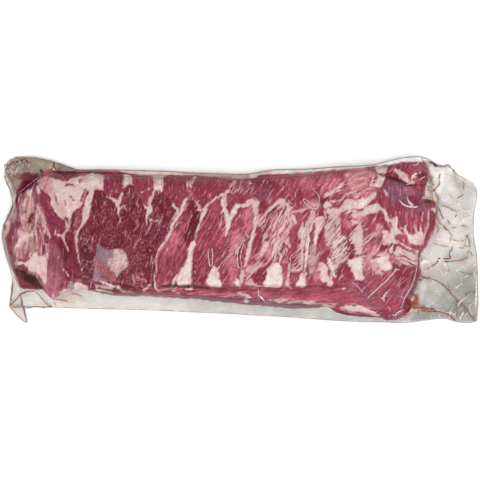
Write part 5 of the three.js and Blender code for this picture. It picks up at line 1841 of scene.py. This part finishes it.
class RIBS_OT_stage(bpy.types.Operator):
    """Sets the floor, the soft lights and the camera straight above"""
    bl_idname = "ribs.stage"
    bl_label = "Stage"

    def execute(self, context):
        settings = context.scene.ribs_stage
        deselect_all()
        bpy.ops.mesh.primitive_plane_add(size=12.0, location=(0, 0, 0))
        floor = context.object
        floor.name = "floor"
        nodes = Nodes("pale_floor")
        shader = nodes.shader((*settings.floor_colour, 1.0), 0.9, 0.0)
        floor.data.materials.append(nodes.finish(shader))
        for softbox in SOFTBOXES:
            soft_light(*softbox)
        world = bpy.data.worlds.new("studio")
        context.scene.world = world
        world.use_nodes = True
        sky = world.node_tree.nodes["Background"].inputs
        sky["Color"].default_value = (1, 1, 1, 1)
        sky["Strength"].default_value = SKY_STRENGTH
        data = bpy.data.cameras.new("camera_above")
        data.sensor_width = SENSOR_WIDTH
        data.lens = SENSOR_WIDTH * settings.camera_height / settings.view_width
        camera = bpy.data.objects.new("camera_above", data)
        context.collection.objects.link(camera)
        camera.location = (0, 0, settings.camera_height)
        context.scene.camera = camera
        context.scene.view_settings.view_transform = "Standard"
        return {"FINISHED"}


class RIBS_PT_panel(bpy.types.Panel):
    """Lists the pieces of the pack in the sidebar"""
    bl_idname = "RIBS_PT_panel"
    bl_label = "Pork ribs"
    bl_space_type = "VIEW_3D"
    bl_region_type = "UI"
    bl_category = "Pork ribs"

    def draw(self, context):
        layout = self.layout
        for operator in OPERATORS:
            layout.operator(operator.bl_idname)
        for group, kind in SETTINGS.items():
            for name in kind.__annotations__:
                layout.prop(getattr(context.scene, group), name)


OPERATORS = (RIBS_OT_rack, RIBS_OT_bag, RIBS_OT_creases, RIBS_OT_stage)
SETTINGS = {"ribs_rack": RackSettings, "ribs_bag": BagSettings, "ribs_stage": StageSettings}


def register():
    for kind in (*SETTINGS.values(), *OPERATORS, RIBS_PT_panel):
        bpy.utils.register_class(kind)
    for name, kind in SETTINGS.items():
        setattr(bpy.types.Scene, name, bpy.props.PointerProperty(type=kind))


def unregister():
    for name in SETTINGS:
        delattr(bpy.types.Scene, name)
    for kind in (RIBS_PT_panel, *reversed(OPERATORS), *reversed(SETTINGS.values())):
        bpy.utils.unregister_class(kind)


def main():
    register()
    bpy.ops.ribs.rack()
    bpy.ops.ribs.bag()
    bpy.ops.ribs.creases()
    bpy.ops.ribs.stage()


if __name__ == "__main__":
    main()
